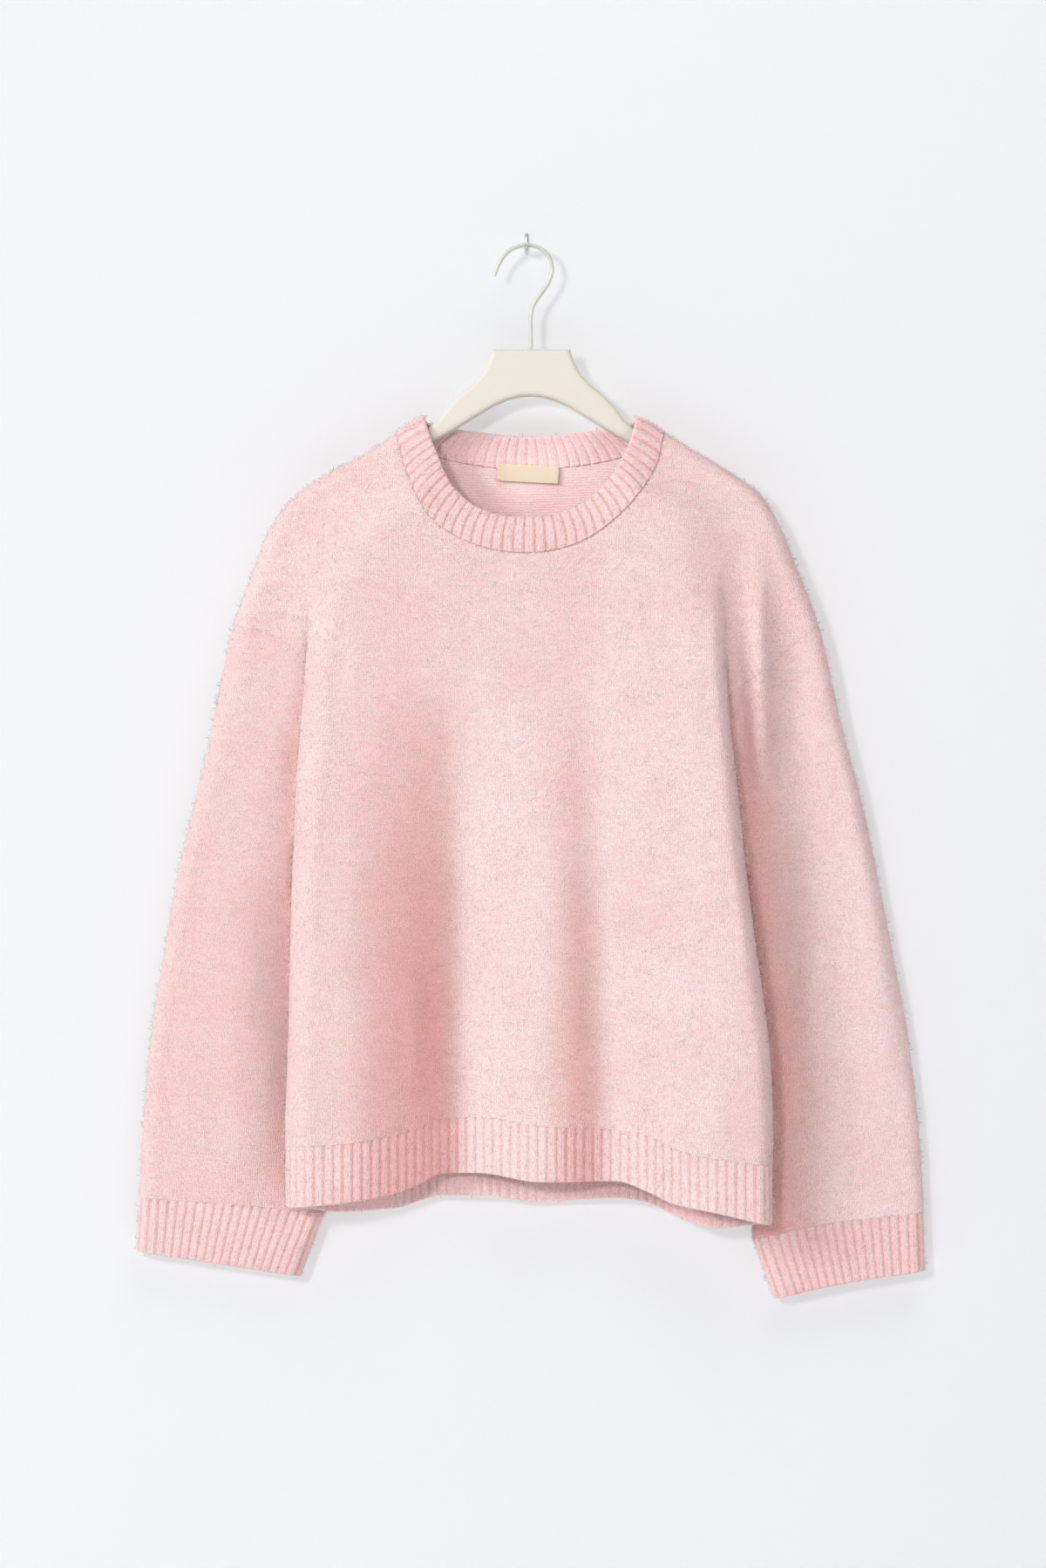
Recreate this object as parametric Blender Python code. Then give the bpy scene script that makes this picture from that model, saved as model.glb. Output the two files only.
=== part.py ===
"""Knit sweater on a hanger, held at the crown of the hanger's hook.

Millimetres in the tables, metres in the meshes. X runs to the wearer's left, -Y is the front and Z is up;
the origin is the underside of the hook's crown. Right and left are the wearer's.
"""
import math
from collections import namedtuple

import bmesh
import bpy
import numpy as np

MM = 0.001
KNIT = 3.0              # thickness of a knitted wall
COLLAR = 4.5            # neck rib, folded double
LABEL = 1.0
SEAM_GAP = 0.3          # between pieces that are sewn together
CORNER = 0.6            # thinning where four pieces meet under the arm
SIDES = (-1, 1)         # wearer's right, wearer's left

# Heights that divide the garment
NECK_POINT_Z = -150     # where the shoulder seam meets the neck rib
FOLD_TOP_Z = -251       # the fold between body and arm starts here
SHOULDER_Z = -304       # outer end of the shoulder seam, on the dropped armhole
CREASE_Z = {-1: -336, 1: -361}      # the armhole seam goes out of sight in the fold
UNDERARM_Z = {-1: -480, 1: -494}

# Outer silhouette, down the shoulder and the sleeve: distance from the centre line on each side
Outer = namedtuple("Outer", "z right left")
OUTER = [Outer(-150, 105.5, 107), Outer(-164, 126, 131), Outer(-187, 168, 168), Outer(-200, 186, 185),
         Outer(-226, 206.5, 200.5), Outer(-261, 220.5, 214.5), Outer(-304, 236, 231), Outer(-386, 253.5, 250),
         Outer(-442, 266.5, 265), Outer(-500, 281, 278), Outer(-570, 293, 292), Outer(-636, 303.5, 304),
         Outer(-710, 310, 312.5), Outer(-765, 312.5, 316), Outer(-825, 317, 318)]

# Edge of the body, over the sleeves: first the fold beside the arm, then the side seam
Edge = namedtuple("Edge", "z right left")
EDGE = [Edge(-251, 186, 151), Edge(-300, 176, 155), Edge(-347, 179, 157), Edge(-387, 182, 160),
        Edge(-430, 185.5, 165), Edge(-500, 188.5, 172.5), Edge(-560, 190, 180), Edge(-645, 192, 191),
        Edge(-710, 194, 194), Edge(-768, 192, 192)]

# Armhole seam where it shows, from the shoulder's end in to the fold
Armhole = namedtuple("Armhole", "right right_z left left_z")
ARMHOLE = [Armhole(220, -308, 214, -318), Armhole(202, -314, 192, -337), Armhole(188, -324, 174, -350)]

# Neck: the seam and the rim above it, anticlockwise seen from above, from the wearer's right shoulder
Neck = namedtuple("Neck", "x seam_z rim_x rim_z rim_y")
NECK_FRONT = [Neck(-105.5, -150, -84, -135.5, 0), Neck(-104, -158, -82.5, -142.5, -8),
              Neck(-97, -182, -75, -163, -12), Neck(-78, -219, -61, -193, -18), Neck(-42, -240, -35, -213, -22),
              Neck(0, -246, 0, -218, -23), Neck(42, -237, 36, -210.5, -22), Neck(77, -211, 63, -188, -18),
              Neck(99, -180, 79, -160, -12), Neck(105.5, -158, 84, -144, -8), Neck(107, -150, 85.5, -137, 0)]
NECK_BACK = [Neck(107, -150, 85.5, -137, 0), Neck(104.5, -156, 83.5, -141.5, 7.5), Neck(93, -162, 76, -143, 10),
             Neck(55, -172.5, 47, -147, 14), Neck(0, -178, 0, -151, 16), Neck(-55, -172.5, -47, -147, 14),
             Neck(-93, -161, -76, -142, 10), Neck(-103, -155, -82, -140.5, 7.5), Neck(-105.5, -150, -84, -135.5, 0)]

# Hems from the wearer's right side seam to the left: rib seam and lower edge, front and back
Hem = namedtuple("Hem", "x seam edge back_seam back_edge")
HEM = [Hem(-192, -720, -769, -720, -769), Hem(-150, -718, -765, -724, -774), Hem(-108, -711, -758, -724, -773),
       Hem(-88, -706, -751, -718, -767), Hem(-70, -699, -743, -712, -762), Hem(-38, -698, -743, -712, -762),
       Hem(8, -704, -749, -717, -768), Hem(70, -708, -749, -714, -764), Hem(95, -712, -757, -717, -768),
       Hem(115, -722, -766, -726, -777), Hem(150, -730, -773, -735, -787), Hem(192, -735, -783, -735, -783)]

# Cuffs: rib seam and lower edge across the sleeve, from its outer to its inner line
Cuff = namedtuple("Cuff", "share seam edge")
CUFFS = {-1: [Cuff(0, -764, -807), Cuff(0.5, -769, -817), Cuff(1, -776, -827)],
         1: [Cuff(0, -776, -823), Cuff(0.5, -783, -832), Cuff(1, -797, -845)]}
CUFF_INNER = {-1: (166, 185), 1: (181, 198)}     # inner line at the seam and at the lower edge

# The front's folds, level by level: two crests with a valley on each side of the middle one, from right to
# left, where each stands across the body and how far it comes forward
Level = namedtuple("Level", "z crest1 out1 valley1 in1 crest2 out2 valley2 in2 crest3 out3")
FRONT_LEVELS = [Level(-200, -142, 26, -60, 26, 30, 26, 48, 26, 128, 26),
                Level(-280, -142, 26, -60, 25.5, 26, 26, 48, 26, 132, 31),
                Level(-340, -142, 27, -60, 23, 20, 26, 48, 26, 138, 36.5),
                Level(-400, -142, 29, -58, 16, 18, 26.5, 48, 23, 144, 39.5),
                Level(-460, -142, 31.5, -56, 9, 18, 26.5, 50, 20, 150, 39.5),
                Level(-520, -142, 34, -55, 3.5, 18, 26.5, 52, 16.5, 158, 39.5),
                Level(-580, -140, 36, -54, 0.5, 18, 25.5, 54, 12, 162, 39),
                Level(-640, -140, 36.5, -54, 0, 16, 24.5, 57, 9, 154, 38),
                Level(-760, -146, 36.5, -50, 0, 14, 24, 61, 8.5, 146, 36)]
RIGHT_FALL = (1.6, 1.9)     # how the cloth leaves the first and second crest on their left
LEFT_FALL = (1.5, 1.2)      # and the second and third crest on their right
VALLEY_ROUND = 7            # the valleys are rounded over this much to each side

# Ridges of the back: crest and depth at the hem, and the width of each flank
Fold = namedtuple("Fold", "top_z top_x hem_x rise fall depth")
FOLDS_END_Z = -740
BACK_FOLDS = [Fold(-360, -96, -112, 60, 62, 12), Fold(-420, 20, 16, 66, 60, 10), Fold(-390, 118, 126, 50, 56, 12)]

# Troughs of the sleeves: both ends, distance from the centre line, width of a flank and depth; one whose depth
# is below nought is a ridge
Trough = namedtuple("Trough", "side top top_z low low_z width depth")
FRONT_TROUGHS = [Trough(-1, 194, -505, 189, -760, 24, 8), Trough(1, 208, -230, 216, -640, 19, 8),
                 Trough(1, 181, -225, 188, -470, 10, -9), Trough(1, 260, -330, 284, -745, 20, -5)]
BACK_TROUGHS = [Trough(-1, 214, -400, 236, -600, 24, 5), Trough(1, 222, -420, 232, -610, 26, 5)]

# Depths from the hanger's plane, front negative
CHEST = 26
BACK = 16
ARM = 12                # half the depth of the arm under the shoulder
ARM_AT_CUFF = 8
ARM_BACK = 15           # the sleeves hang this far behind the hanger's plane
FOLD_FRONT = -10        # fold line where the seam goes out of sight
FOLD_BACK = 12
UNDERARM_Y = 2
SIDE_SEAM = -12
BACK_TUCK = -6          # the back panel passes in front of the sleeves
EDGE_ROUND = {(-1, -1): 20, (-1, 1): 12, (1, -1): 7, (1, 1): 7}     # radius at the body's edge, by face and side

# Hanger
Point = namedtuple("Point", "x z")
HANGER_X = 1.2
HANGER_DEPTH = 12
HANGER_EDGE = 4
HANGER_END = 182
HANGER_END_Z = -205
HANGER_ARM = 21
HANGER_UNDER = (102.3, 170)           # the arm has its full height between these distances
HANGER_FLARE = 6        # its underside lies this much nearer the middle than its top
HANGER_CLEAR = 2.0      # from the cloth's middle line down to the arm
TIP_ROUND = Point(1, 8)
PLATE_Z = -82
WIRE = 1.65
STEM_END_Z = -104
HOLE_OVER = 10          # the hole's cutter stands this far above the plate
HANGER_TOP = [Point(31.5, -82), Point(34.5, -91), Point(39.5, -101), Point(48, -110.5), Point(60, -120.5),
              Point(68, -129), Point(75.5, -139.5), Point(90, -151.5)]
HANGER_ARCH = [Point(0, -120), Point(8, -120.5), Point(18, -122.9), Point(30, -128.2), Point(44, -136.6),
               Point(60, -146.6), Point(80, -158)]
HOOK = [Point(-28.2, -23), Point(-24.4, -13.5), Point(-18, -4.6), Point(-9.5, 0.2), Point(0, 1.65),
        Point(9.8, -1.4), Point(16.4, -8.6), Point(18.4, -18.6), Point(15.2, -29), Point(8.8, -38.4),
        Point(3.4, -46.5), Point(1.2, -55), Point(1.2, -70), Point(1.2, -88), Point(1.2, STEM_END_Z)]

# Label, hanging from the back neck seam
LABEL_WIDE = 50
LABEL_DEEP = 14
LABEL_TOP = Point(-25.5, -173)
LABEL_TILT = math.radians(-3)
LABEL_CLEAR = 0.7       # from the neck rib to the label's front

# Grids
ROUND_STEPS = (0, 1.7, 6.4, 17)     # distances from a rounded edge
BODY_COLUMNS = 24
ARM_COLUMNS = 10                    # half of a sleeve, and the panel above it
YOKE_ROWS = 8
FOLD_ROWS = 5
SIDE_ROWS = 8
SLEEVE_ROWS = 8                     # below the underarm
RIB_ROWS = 2


# ---- curves -------------------------------------------------------------------------------------------------

def track(rows, key, value):
    """A smooth function of one column of a table through another, with no overshoot."""
    pairs = sorted((getattr(row, key), getattr(row, value)) for row in rows)
    at = np.array([pair[0] for pair in pairs], float)
    values = np.array([pair[1] for pair in pairs], float)
    slopes = np.diff(values) / np.diff(at)
    before, after = slopes[:-1], slopes[1:]
    total = np.where(before * after > 0, before + after, 1.0)
    inner = np.where(before * after > 0, 2 * before * after / total, 0.0)
    tangents = np.concatenate(([slopes[0]], inner, [slopes[-1]]))

    def read(place):
        place = np.clip(np.asarray(place, float), at[0], at[-1])
        index = np.clip(np.searchsorted(at, place) - 1, 0, len(at) - 2)
        width = at[index + 1] - at[index]
        share = (place - at[index]) / width
        low, high = values[index], values[index + 1]
        start, end = tangents[index] * width, tangents[index + 1] * width
        bend = share * share * (3 - 2 * share)
        return (low * (1 - bend) + high * bend + start * share * (1 - share) ** 2
                - end * share * share * (1 - share))
    return read


def spline(points, steps=12):
    """A dense smooth curve through a few points, for any number of coordinates."""
    points = np.array(points, float)
    padded = np.vstack((2 * points[0] - points[1], points, 2 * points[-1] - points[-2]))
    share = np.linspace(0, 1, steps, endpoint=False)[:, None]
    dense = []
    for before, start, end, after in zip(padded, padded[1:], padded[2:], padded[3:]):
        dense.append(start + 0.5 * share * (end - before + share * (2 * before - 5 * start + 4 * end - after
                     + share * (3 * (start - end) + after - before))))
    return np.vstack(dense + [points[-1:]])


def divide(points, distances):
    """Points at the given shares (0 to 1) of a dense line's length."""
    points = np.asarray(points, float)
    along = np.concatenate(([0], np.cumsum(np.linalg.norm(np.diff(points, axis=0), axis=1))))
    return np.stack([np.interp(distances, along / along[-1], column) for column in points.T], axis=1)


def length(points):
    return float(np.linalg.norm(np.diff(points, axis=0), axis=1).sum())


def spacing(total, count, start=False, end=False):
    """Shares for count steps, drawn together at the ends that are rounded."""
    near = [step / total for step in ROUND_STEPS]
    first = near if start else near[:1]
    last = [1 - share for share in reversed(near if end else near[:1])]
    middle = np.linspace(first[-1], last[0], count - len(first) - len(last) + 3)
    return np.concatenate((first, middle[1:-1], last))


def ease(share):
    share = np.clip(share, 0, 1)
    return share * share * (3 - 2 * share)


def quarter(distance, radius):
    """How far a surface has come round its edge: 0 on the edge, 1 past the radius."""
    share = np.clip(distance / radius, 0, 1)
    return np.sqrt(np.clip(1 - (1 - share) ** 2, 0, 1))


OUTER_AT = {-1: track(OUTER, "z", "right"), 1: track(OUTER, "z", "left")}
EDGE_AT = {-1: track(EDGE, "z", "right"), 1: track(EDGE, "z", "left")}


# ---- depth of the cloth, front and back -----------------------------------------------------------------------

def outer_distance(side, reach, z):
    """Distance in from the outer silhouette, square to it."""
    slope = (OUTER_AT[side](z + 1) - OUTER_AT[side](z - 1)) / 2
    return np.clip((OUTER_AT[side](z) - reach) / np.sqrt(1 + slope * slope), 0, None)


def below(z, top, span):
    """0 above a height, 1 once span below it."""
    return np.clip((top - z) / span, 0, 1)


def throat(side, z):
    """How far the armhole's front and back fold lines stand apart: 1 where they start, 0 under the arm."""
    return np.sqrt(np.clip(1 - below(z, CREASE_Z[side], CREASE_Z[side] - UNDERARM_Z[side]) ** 2.5, 0, 1))


def fork(side, z):
    """How far body and sleeve have parted below the underarm."""
    return below(z, UNDERARM_Z[side], 45) ** 0.6


def crease_depth(side, z, face):
    """The fold line between body and arm, down to the underarm."""
    return UNDERARM_Y + ((FOLD_FRONT if face < 0 else FOLD_BACK) - UNDERARM_Y) * throat(side, z)


def side_depth(side, z, face):
    """The body's own edge: fold line, then side seam."""
    seam = UNDERARM_Y + (SIDE_SEAM - UNDERARM_Y) * fork(side, z)
    return np.where(z > UNDERARM_Z[side], crease_depth(side, z, face), seam)


def arm_centre(z):
    return ARM_BACK * ease(below(z, SHOULDER_Z, 260))


def sleeve_inner(side, z):
    """The sleeve's inner line: the fold line, then behind the body."""
    tuck = ease(below(z, UNDERARM_Z[side], 150))
    return EDGE_AT[side](np.maximum(z, UNDERARM_Z[side])) * (1 - tuck) + CUFF_INNER[side][0] * tuck


def sleeve_inner_depth(side, z, face):
    line = UNDERARM_Y + (arm_centre(z) - UNDERARM_Y) * fork(side, z)
    return np.where(z > UNDERARM_Z[side], crease_depth(side, z, face), line)


def ridges(folds, x, z):
    total = np.zeros_like(x)
    for fold in folds:
        grown = below(z, fold.top_z, fold.top_z - FOLDS_END_Z)
        crest = fold.top_x + (fold.hem_x - fold.top_x) * grown
        width = np.where(x < crest, fold.rise, fold.fall)
        bump = 0.5 + 0.5 * np.cos(np.pi * np.clip((x - crest) / width, -1, 1))
        total += fold.depth * grown ** 0.8 * bump
    return total


LEVEL_AT = {name: track(FRONT_LEVELS, "z", name) for name in Level._fields[1:]}


def swell(x, z):
    """How far the front comes forward between its crests and valleys; level beyond the first and the last."""
    at = {name: read(z) for name, read in LEVEL_AT.items()}

    def slope(place, crest, out, valley, low, power):
        share = np.clip((place - crest) / (valley - crest), 0, 1)
        return out + (low - out) * share ** power

    total = np.zeros_like(x)
    for shift in np.linspace(-VALLEY_ROUND, VALLEY_ROUND, 5):
        place = x + shift
        right = slope(place, at["crest1"], at["out1"], at["valley1"], at["in1"], RIGHT_FALL[0])
        middle_right = slope(place, at["crest2"], at["out2"], at["valley1"], at["in1"], LEFT_FALL[0])
        middle_left = slope(place, at["crest2"], at["out2"], at["valley2"], at["in2"], RIGHT_FALL[1])
        left = slope(place, at["crest3"], at["out3"], at["valley2"], at["in2"], LEFT_FALL[1])
        middle = np.where(place < at["crest2"], middle_right, middle_left)
        total += np.where(place < at["valley1"], right, np.where(place < at["valley2"], middle, left)) / 5
    return total


def troughs(table, side, reach, z):
    total = np.zeros_like(reach)
    for trough in table:
        if trough.side != side:
            continue
        along = (trough.top_z - z) / (trough.top_z - trough.low_z)
        middle = trough.top + (trough.low - trough.top) * np.clip(along, 0, 1)
        ends = np.clip(1 - (2 * along - 1) ** 2, 0, 1)
        total += trough.depth * ends * np.exp(-((reach - middle) / trough.width) ** 2)
    return total


def body_depth(x, z, face, side):
    """Middle of the front or back cloth, away from its edges."""
    if face < 0:
        chest = 9 + (CHEST - 9) * ease(outer_distance(side, np.abs(x), z) / 80)
        return -(chest + swell(x, z) - CHEST)
    back = 9 + (BACK - 9) * ease(outer_distance(side, np.abs(x), z) / 60)
    back = back + ridges(BACK_FOLDS, x, z) - 6 * ease(below(z, -400, 300))
    tuck = ease((np.abs(x) - 95) / 60) * ease(below(z, SHOULDER_Z, 300))
    return back * (1 - tuck) + BACK_TUCK * tuck


def arm_depth(side, reach, z, face):
    """The sleeve, and the part of the panel above its seam."""
    half = ARM + (ARM_AT_CUFF - ARM) * ease(below(z, SHOULDER_Z, 400))
    table = FRONT_TROUGHS if face < 0 else BACK_TROUGHS
    middle = arm_centre(z) + face * (half - troughs(table, side, reach, z))
    inner = sleeve_inner(side, z)
    outer_turn = 1 - quarter(outer_distance(side, reach, z), 12)
    inner_turn = 1 - quarter(reach - inner, 10)
    return (middle + (arm_centre(z) - middle) * outer_turn
            + (sleeve_inner_depth(side, z, face) - middle) * inner_turn)


def panel_depth(x, z, face):
    """Front (face -1) or back (face 1) of the body, arms included down to the armhole seam."""
    depth = np.zeros_like(x)
    for side in SIDES:
        mine = (x * side) >= 0
        reach = np.abs(x)
        edge = EDGE_AT[side](z)
        inside = edge - reach
        body = body_depth(x, z, face, side)
        turned = body + (side_depth(side, z, face) - body) * (1 - quarter(inside, EDGE_ROUND[face, side]))
        folded = np.where(inside >= 0, turned, arm_depth(side, np.maximum(reach, edge), z, face))
        arm_middle = face * ARM
        blend = ease((inside + 34) / 68)
        middle = arm_middle * (1 - blend) + body * blend
        smooth = middle * quarter(outer_distance(side, reach, z), 11)
        grown = ease(below(z, FOLD_TOP_Z, FOLD_TOP_Z - CREASE_Z[side]))
        depth = np.where(mine, smooth * (1 - grown) + folded * grown, depth)
    return depth


def sleeve_depth(side, x, z, face):
    low = arm_depth(side, np.abs(x), z, face)
    return np.where(z > CREASE_Z[side], panel_depth(x, z, face), low)


# ---- seams and edges in front view --------------------------------------------------------------------------

def upright(side, reach, top, low, rows, gather=1.0):
    """Points down a line whose distance from the centre is a function of height; gathered at an end if not 1."""
    z = np.linspace(top, low, 60)
    z = divide(np.stack((reach(z), z), axis=1), np.linspace(0, 1, rows + 1) ** gather)[:, 1]
    return np.stack((side * reach(z), z), axis=1)


def armhole_seam(side):
    """From the shoulder's end in to the fold."""
    name = "right" if side < 0 else "left"
    rows = [(side * getattr(row, name), getattr(row, name + "_z")) for row in ARMHOLE]
    start = (side * float(OUTER_AT[side](SHOULDER_Z)), SHOULDER_Z)
    fold = (side * float(EDGE_AT[side](CREASE_Z[side])), CREASE_Z[side])
    return spline([start] + rows + [fold])


def armhole_points(side):
    line = armhole_seam(side)
    return divide(line, spacing(length(line), ARM_COLUMNS, start=True, end=True))


def fold_points(side):
    return upright(side, EDGE_AT[side], CREASE_Z[side], UNDERARM_Z[side], FOLD_ROWS, 0.75)


def join(parts):
    return np.vstack([parts[0]] + [part[1:] for part in parts[1:]])


def neck_line(rows, x, z):
    """The seam or the rim of the neck, cut at the yoke's columns."""
    line = spline([[getattr(row, name) for name in (x, z)] for row in rows])
    return divide(line, spacing(length(line), BODY_COLUMNS + 2 * ARM_COLUMNS, start=True, end=True))


def hem_line(column):
    right, left = HEM[0].x, HEM[-1].x
    x = right + (left - right) * spacing(left - right, BODY_COLUMNS, start=True, end=True)
    return np.stack((x, track(HEM, "x", column)(x)), axis=1)


def patch(top, bottom, start, end, reach):
    """Rows of points between four edges; the two side edges fade inwards over their reach (0 to 1)."""
    across = np.linspace(0, 1, len(top))
    along = np.concatenate(([0], np.cumsum(np.linalg.norm(np.diff(start, axis=0), axis=1))))
    near_start = (1 - ease(across / reach))[:, None]
    near_end = (1 - ease((1 - across) / reach))[:, None]
    grid = []
    for share, first, last in zip(along / along[-1], start, end):
        line = (1 - share) * top + share * bottom
        grid.append(line + near_start * (first - line[0]) + near_end * (last - line[-1]))
    return np.array(grid)


def lift(flat, depth):
    """Front-view points and their depths as points in space."""
    return np.stack((flat[..., 0], depth + np.zeros(flat.shape[:-1]), flat[..., 1]), axis=-1)


def panel(face):
    """The front (-1) or back (1) of the body, columns in the order of x: the yoke, then all below the folds."""
    ends = [armhole_points(side)[-1] for side in SIDES]
    shares = spacing(length(ends), BODY_COLUMNS, start=True, end=True)[:, None]
    across = ends[0] * (1 - shares) + ends[1] * shares
    low = join((armhole_points(-1), across, armhole_points(1)[::-1]))
    shoulders = [upright(side, OUTER_AT[side], NECK_POINT_Z, SHOULDER_Z, YOKE_ROWS) for side in SIDES]
    neck = neck_line(NECK_FRONT if face < 0 else NECK_BACK[::-1], "x", "seam_z")
    yoke = patch(neck, low, shoulders[0], shoulders[1], reach=0.35)
    hem_z = {-1: HEM[0].seam, 1: HEM[-1].seam}
    sides = [join((fold_points(side), upright(side, EDGE_AT[side], UNDERARM_Z[side], hem_z[side], SIDE_ROWS, 1.2)))
             for side in SIDES]
    body = patch(across, hem_line("seam" if face < 0 else "back_seam"), sides[0], sides[1], reach=0.6)
    return [lift(flat, panel_depth(flat[..., 0], flat[..., 1], face)) for flat in (yoke, body)]


def cuff_line(side, column):
    """The rib's seam or lower edge, from the sleeve's outer to its inner line."""
    outer = float(OUTER_AT[side](getattr(CUFFS[side][0], column)))
    inner = CUFF_INNER[side][0 if column == "seam" else 1]
    share = spacing(outer - inner, ARM_COLUMNS, start=True, end=True)
    return np.stack((side * (outer + (inner - outer) * share), track(CUFFS[side], "share", column)(share)), axis=1)


def round_tube(front, back, side):
    """Two halves of a tube side by side as seen from outside; each runs from the outer to the inner line."""
    if side < 0:
        return np.concatenate((back[:, ::-1], front[:, 1:]), axis=1)
    return np.concatenate((front[:, ::-1], back[:, 1:]), axis=1)


def sleeve(side):
    """A tube, open above the underarm where the fold line is sewn to the body; no column crosses that line."""
    rows = FOLD_ROWS + SLEEVE_ROWS
    cuff_seam = cuff_line(side, "seam")
    outer = upright(side, OUTER_AT[side], SHOULDER_Z, cuff_seam[0, 1], rows)
    inner = upright(side, lambda z: sleeve_inner(side, z), UNDERARM_Z[side], cuff_seam[-1, 1], SLEEVE_ROWS,
                    1.2)
    flat = patch(armhole_points(side), cuff_seam, outer, join((fold_points(side), inner)), reach=1)
    for column, step in enumerate(ROUND_STEPS[1:], 2):
        least = sleeve_inner(side, flat[1:, -column, 1]) + 0.7 * step
        flat[1:, -column, 0] = side * np.maximum(np.abs(flat[1:, -column, 0]), least)
    halves = [lift(flat, sleeve_depth(side, flat[..., 0], flat[..., 1], face)) for face in (-1, 1)]
    return round_tube(halves[0], halves[1], side)


def strip(top, bottom, bulge=0.0):
    """Rows of points from one line to another, bowed out from the middle of the ring they make."""
    share = np.linspace(0, 1, RIB_ROWS + 1)[:, None, None]
    grid = top[None] * (1 - share) + bottom[None] * share
    away = grid - grid.mean(axis=1, keepdims=True)
    away[..., 2] = 0
    reach = np.linalg.norm(away, axis=-1, keepdims=True)
    return grid + bulge * 4 * share * (1 - share) * away / np.maximum(reach, 1)


def cuff(side, tube):
    """The rib below a sleeve, from the sleeve's last row."""
    line = cuff_line(side, "edge")
    reach = np.abs(line[:, 0])
    turn = quarter(np.minimum(reach.max() - reach, reach - reach.min()), 10)
    halves = [lift(line, ARM_BACK + face * ARM_AT_CUFF * turn)[None] for face in (-1, 1)]
    return strip(tube[-1], round_tube(halves[0], halves[1], side)[0])


def hem(face, body):
    """The rib below a panel: it hangs on from the panel's last row."""
    low = body[-1].copy()
    low[:, 2] = track(HEM, "x", "edge" if face < 0 else "back_edge")(low[:, 0])
    return strip(body[-1], low)


def collar(front, back):
    """The neck rib, from its rim down to the seam with both yokes; its first and last columns meet."""
    halves = []
    for rows in (NECK_FRONT, NECK_BACK):
        line = neck_line(rows, "rim_x", "rim_z")
        along = neck_line(rows, "rim_x", "rim_y")[:, 1]
        halves.append(lift(line, along))
    return strip(join(halves), join((front[0], back[0, ::-1])), bulge=2)


# ---- walls ---------------------------------------------------------------------------------------------------

def place_key(point):
    return tuple(np.round(point, 2) + 0.0)


class Wall:
    """Grids of middle points as quads; points that fall together are one, and a free edge is a border."""

    def __init__(self, grids, thickness):
        self.thickness = thickness
        numbers = {}
        points = []
        quads = []
        for grid in grids:
            index = np.zeros(grid.shape[:2], int)
            for place in np.ndindex(index.shape):
                key = place_key(grid[place])
                if key not in numbers:
                    numbers[key] = len(points)
                    points.append(grid[place])
                index[place] = numbers[key]
            quads.append(np.stack((index[:-1, :-1], index[1:, :-1], index[1:, 1:], index[:-1, 1:]), axis=-1))
        self.points = np.array(points)
        self.keys = list(numbers)
        self.quads = np.concatenate([block.reshape(-1, 4) for block in quads])
        used = {}
        for number, quad in enumerate(self.quads):
            for start, end in zip(quad, np.roll(quad, -1)):
                used[(int(start), int(end))] = number
        self.border = {edge: quad for edge, quad in used.items() if edge[::-1] not in used}
        corners = self.points[self.quads]
        facing = np.cross(corners[:, 2] - corners[:, 0], corners[:, 3] - corners[:, 1])
        self.facing = facing / np.linalg.norm(facing, axis=1)[:, None]
        self.normals = np.zeros_like(self.points)
        for corner in range(4):
            np.add.at(self.normals, self.quads[:, corner], self.facing)

    def draw_back(self, sewn):
        """Middle points with the sewn borders drawn back by half of the seam gap."""
        pulls = {}
        for (start, end), quad in self.border.items():
            if self.keys[start] in sewn and self.keys[end] in sewn:
                along = self.points[end] - self.points[start]
                inward = np.cross(self.facing[quad], along / np.linalg.norm(along))
                for number in (start, end):
                    pulls.setdefault(number, []).append(inward)
        points = self.points.copy()
        for number, inward in pulls.items():
            total = sum(inward)
            both = inward[0] @ inward[-1] if len(inward) > 1 else 0
            points[number] += SEAM_GAP / 2 * total / max(1 + both, 0.3)
        return points

    def mesh(self, name, sewn=()):
        """The closed wall, half of its thickness to each side; two sewn borders are cut along the same lines."""
        middle = self.draw_back(sewn)
        shift = self.normals * self.thickness / 2
        under = len(middle)
        quads = [tuple(int(number) for number in quad) for quad in self.quads]
        faces = quads + [tuple(number + under for number in quad[::-1]) for quad in quads]
        for start, end in self.border:
            if self.keys[start] < self.keys[end]:
                faces += [(end, start, end + under), (start, start + under, end + under)]
            else:
                faces += [(end, start, start + under), (end, start + under, end + under)]
        mesh = bpy.data.meshes.new(name)
        mesh.from_pydata((np.concatenate((middle + shift, middle - shift)) * MM).tolist(), [], faces)
        return mesh


def share_normals(walls):
    """Give all the walls that meet at a point one direction there: a mitre, shorter at the underarm's corner."""
    sums = {}
    for wall in walls.values():
        for key, normal in zip(wall.keys, wall.normals):
            sums[key] = sums.get(key, 0) + normal
    for side in SIDES:
        x = side * float(EDGE_AT[side](UNDERARM_Z[side]))
        sums[place_key((x, UNDERARM_Y, UNDERARM_Z[side]))] = np.array((0, 0, -1.0))
    for wall in walls.values():
        own = wall.normals / np.maximum(np.linalg.norm(wall.normals, axis=1)[:, None], 1e-9)
        shared = np.array([sums[key] for key in wall.keys])
        shared /= np.maximum(np.linalg.norm(shared, axis=1)[:, None], 1e-9)
        along = (shared * own).sum(axis=1)
        wall.normals = shared * np.where(along > 0.4, 1 / np.clip(along, 0.75, 1), CORNER)[:, None]


def tidy_faces(mesh):
    """Split bent quads and shade the cloth smooth."""
    form = bmesh.new()
    form.from_mesh(mesh)
    bmesh.ops.triangulate(form, faces=form.faces[:])
    form.to_mesh(mesh)
    form.free()
    mesh.shade_smooth()
    mesh.set_sharp_from_angle(angle=math.radians(50))


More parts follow.
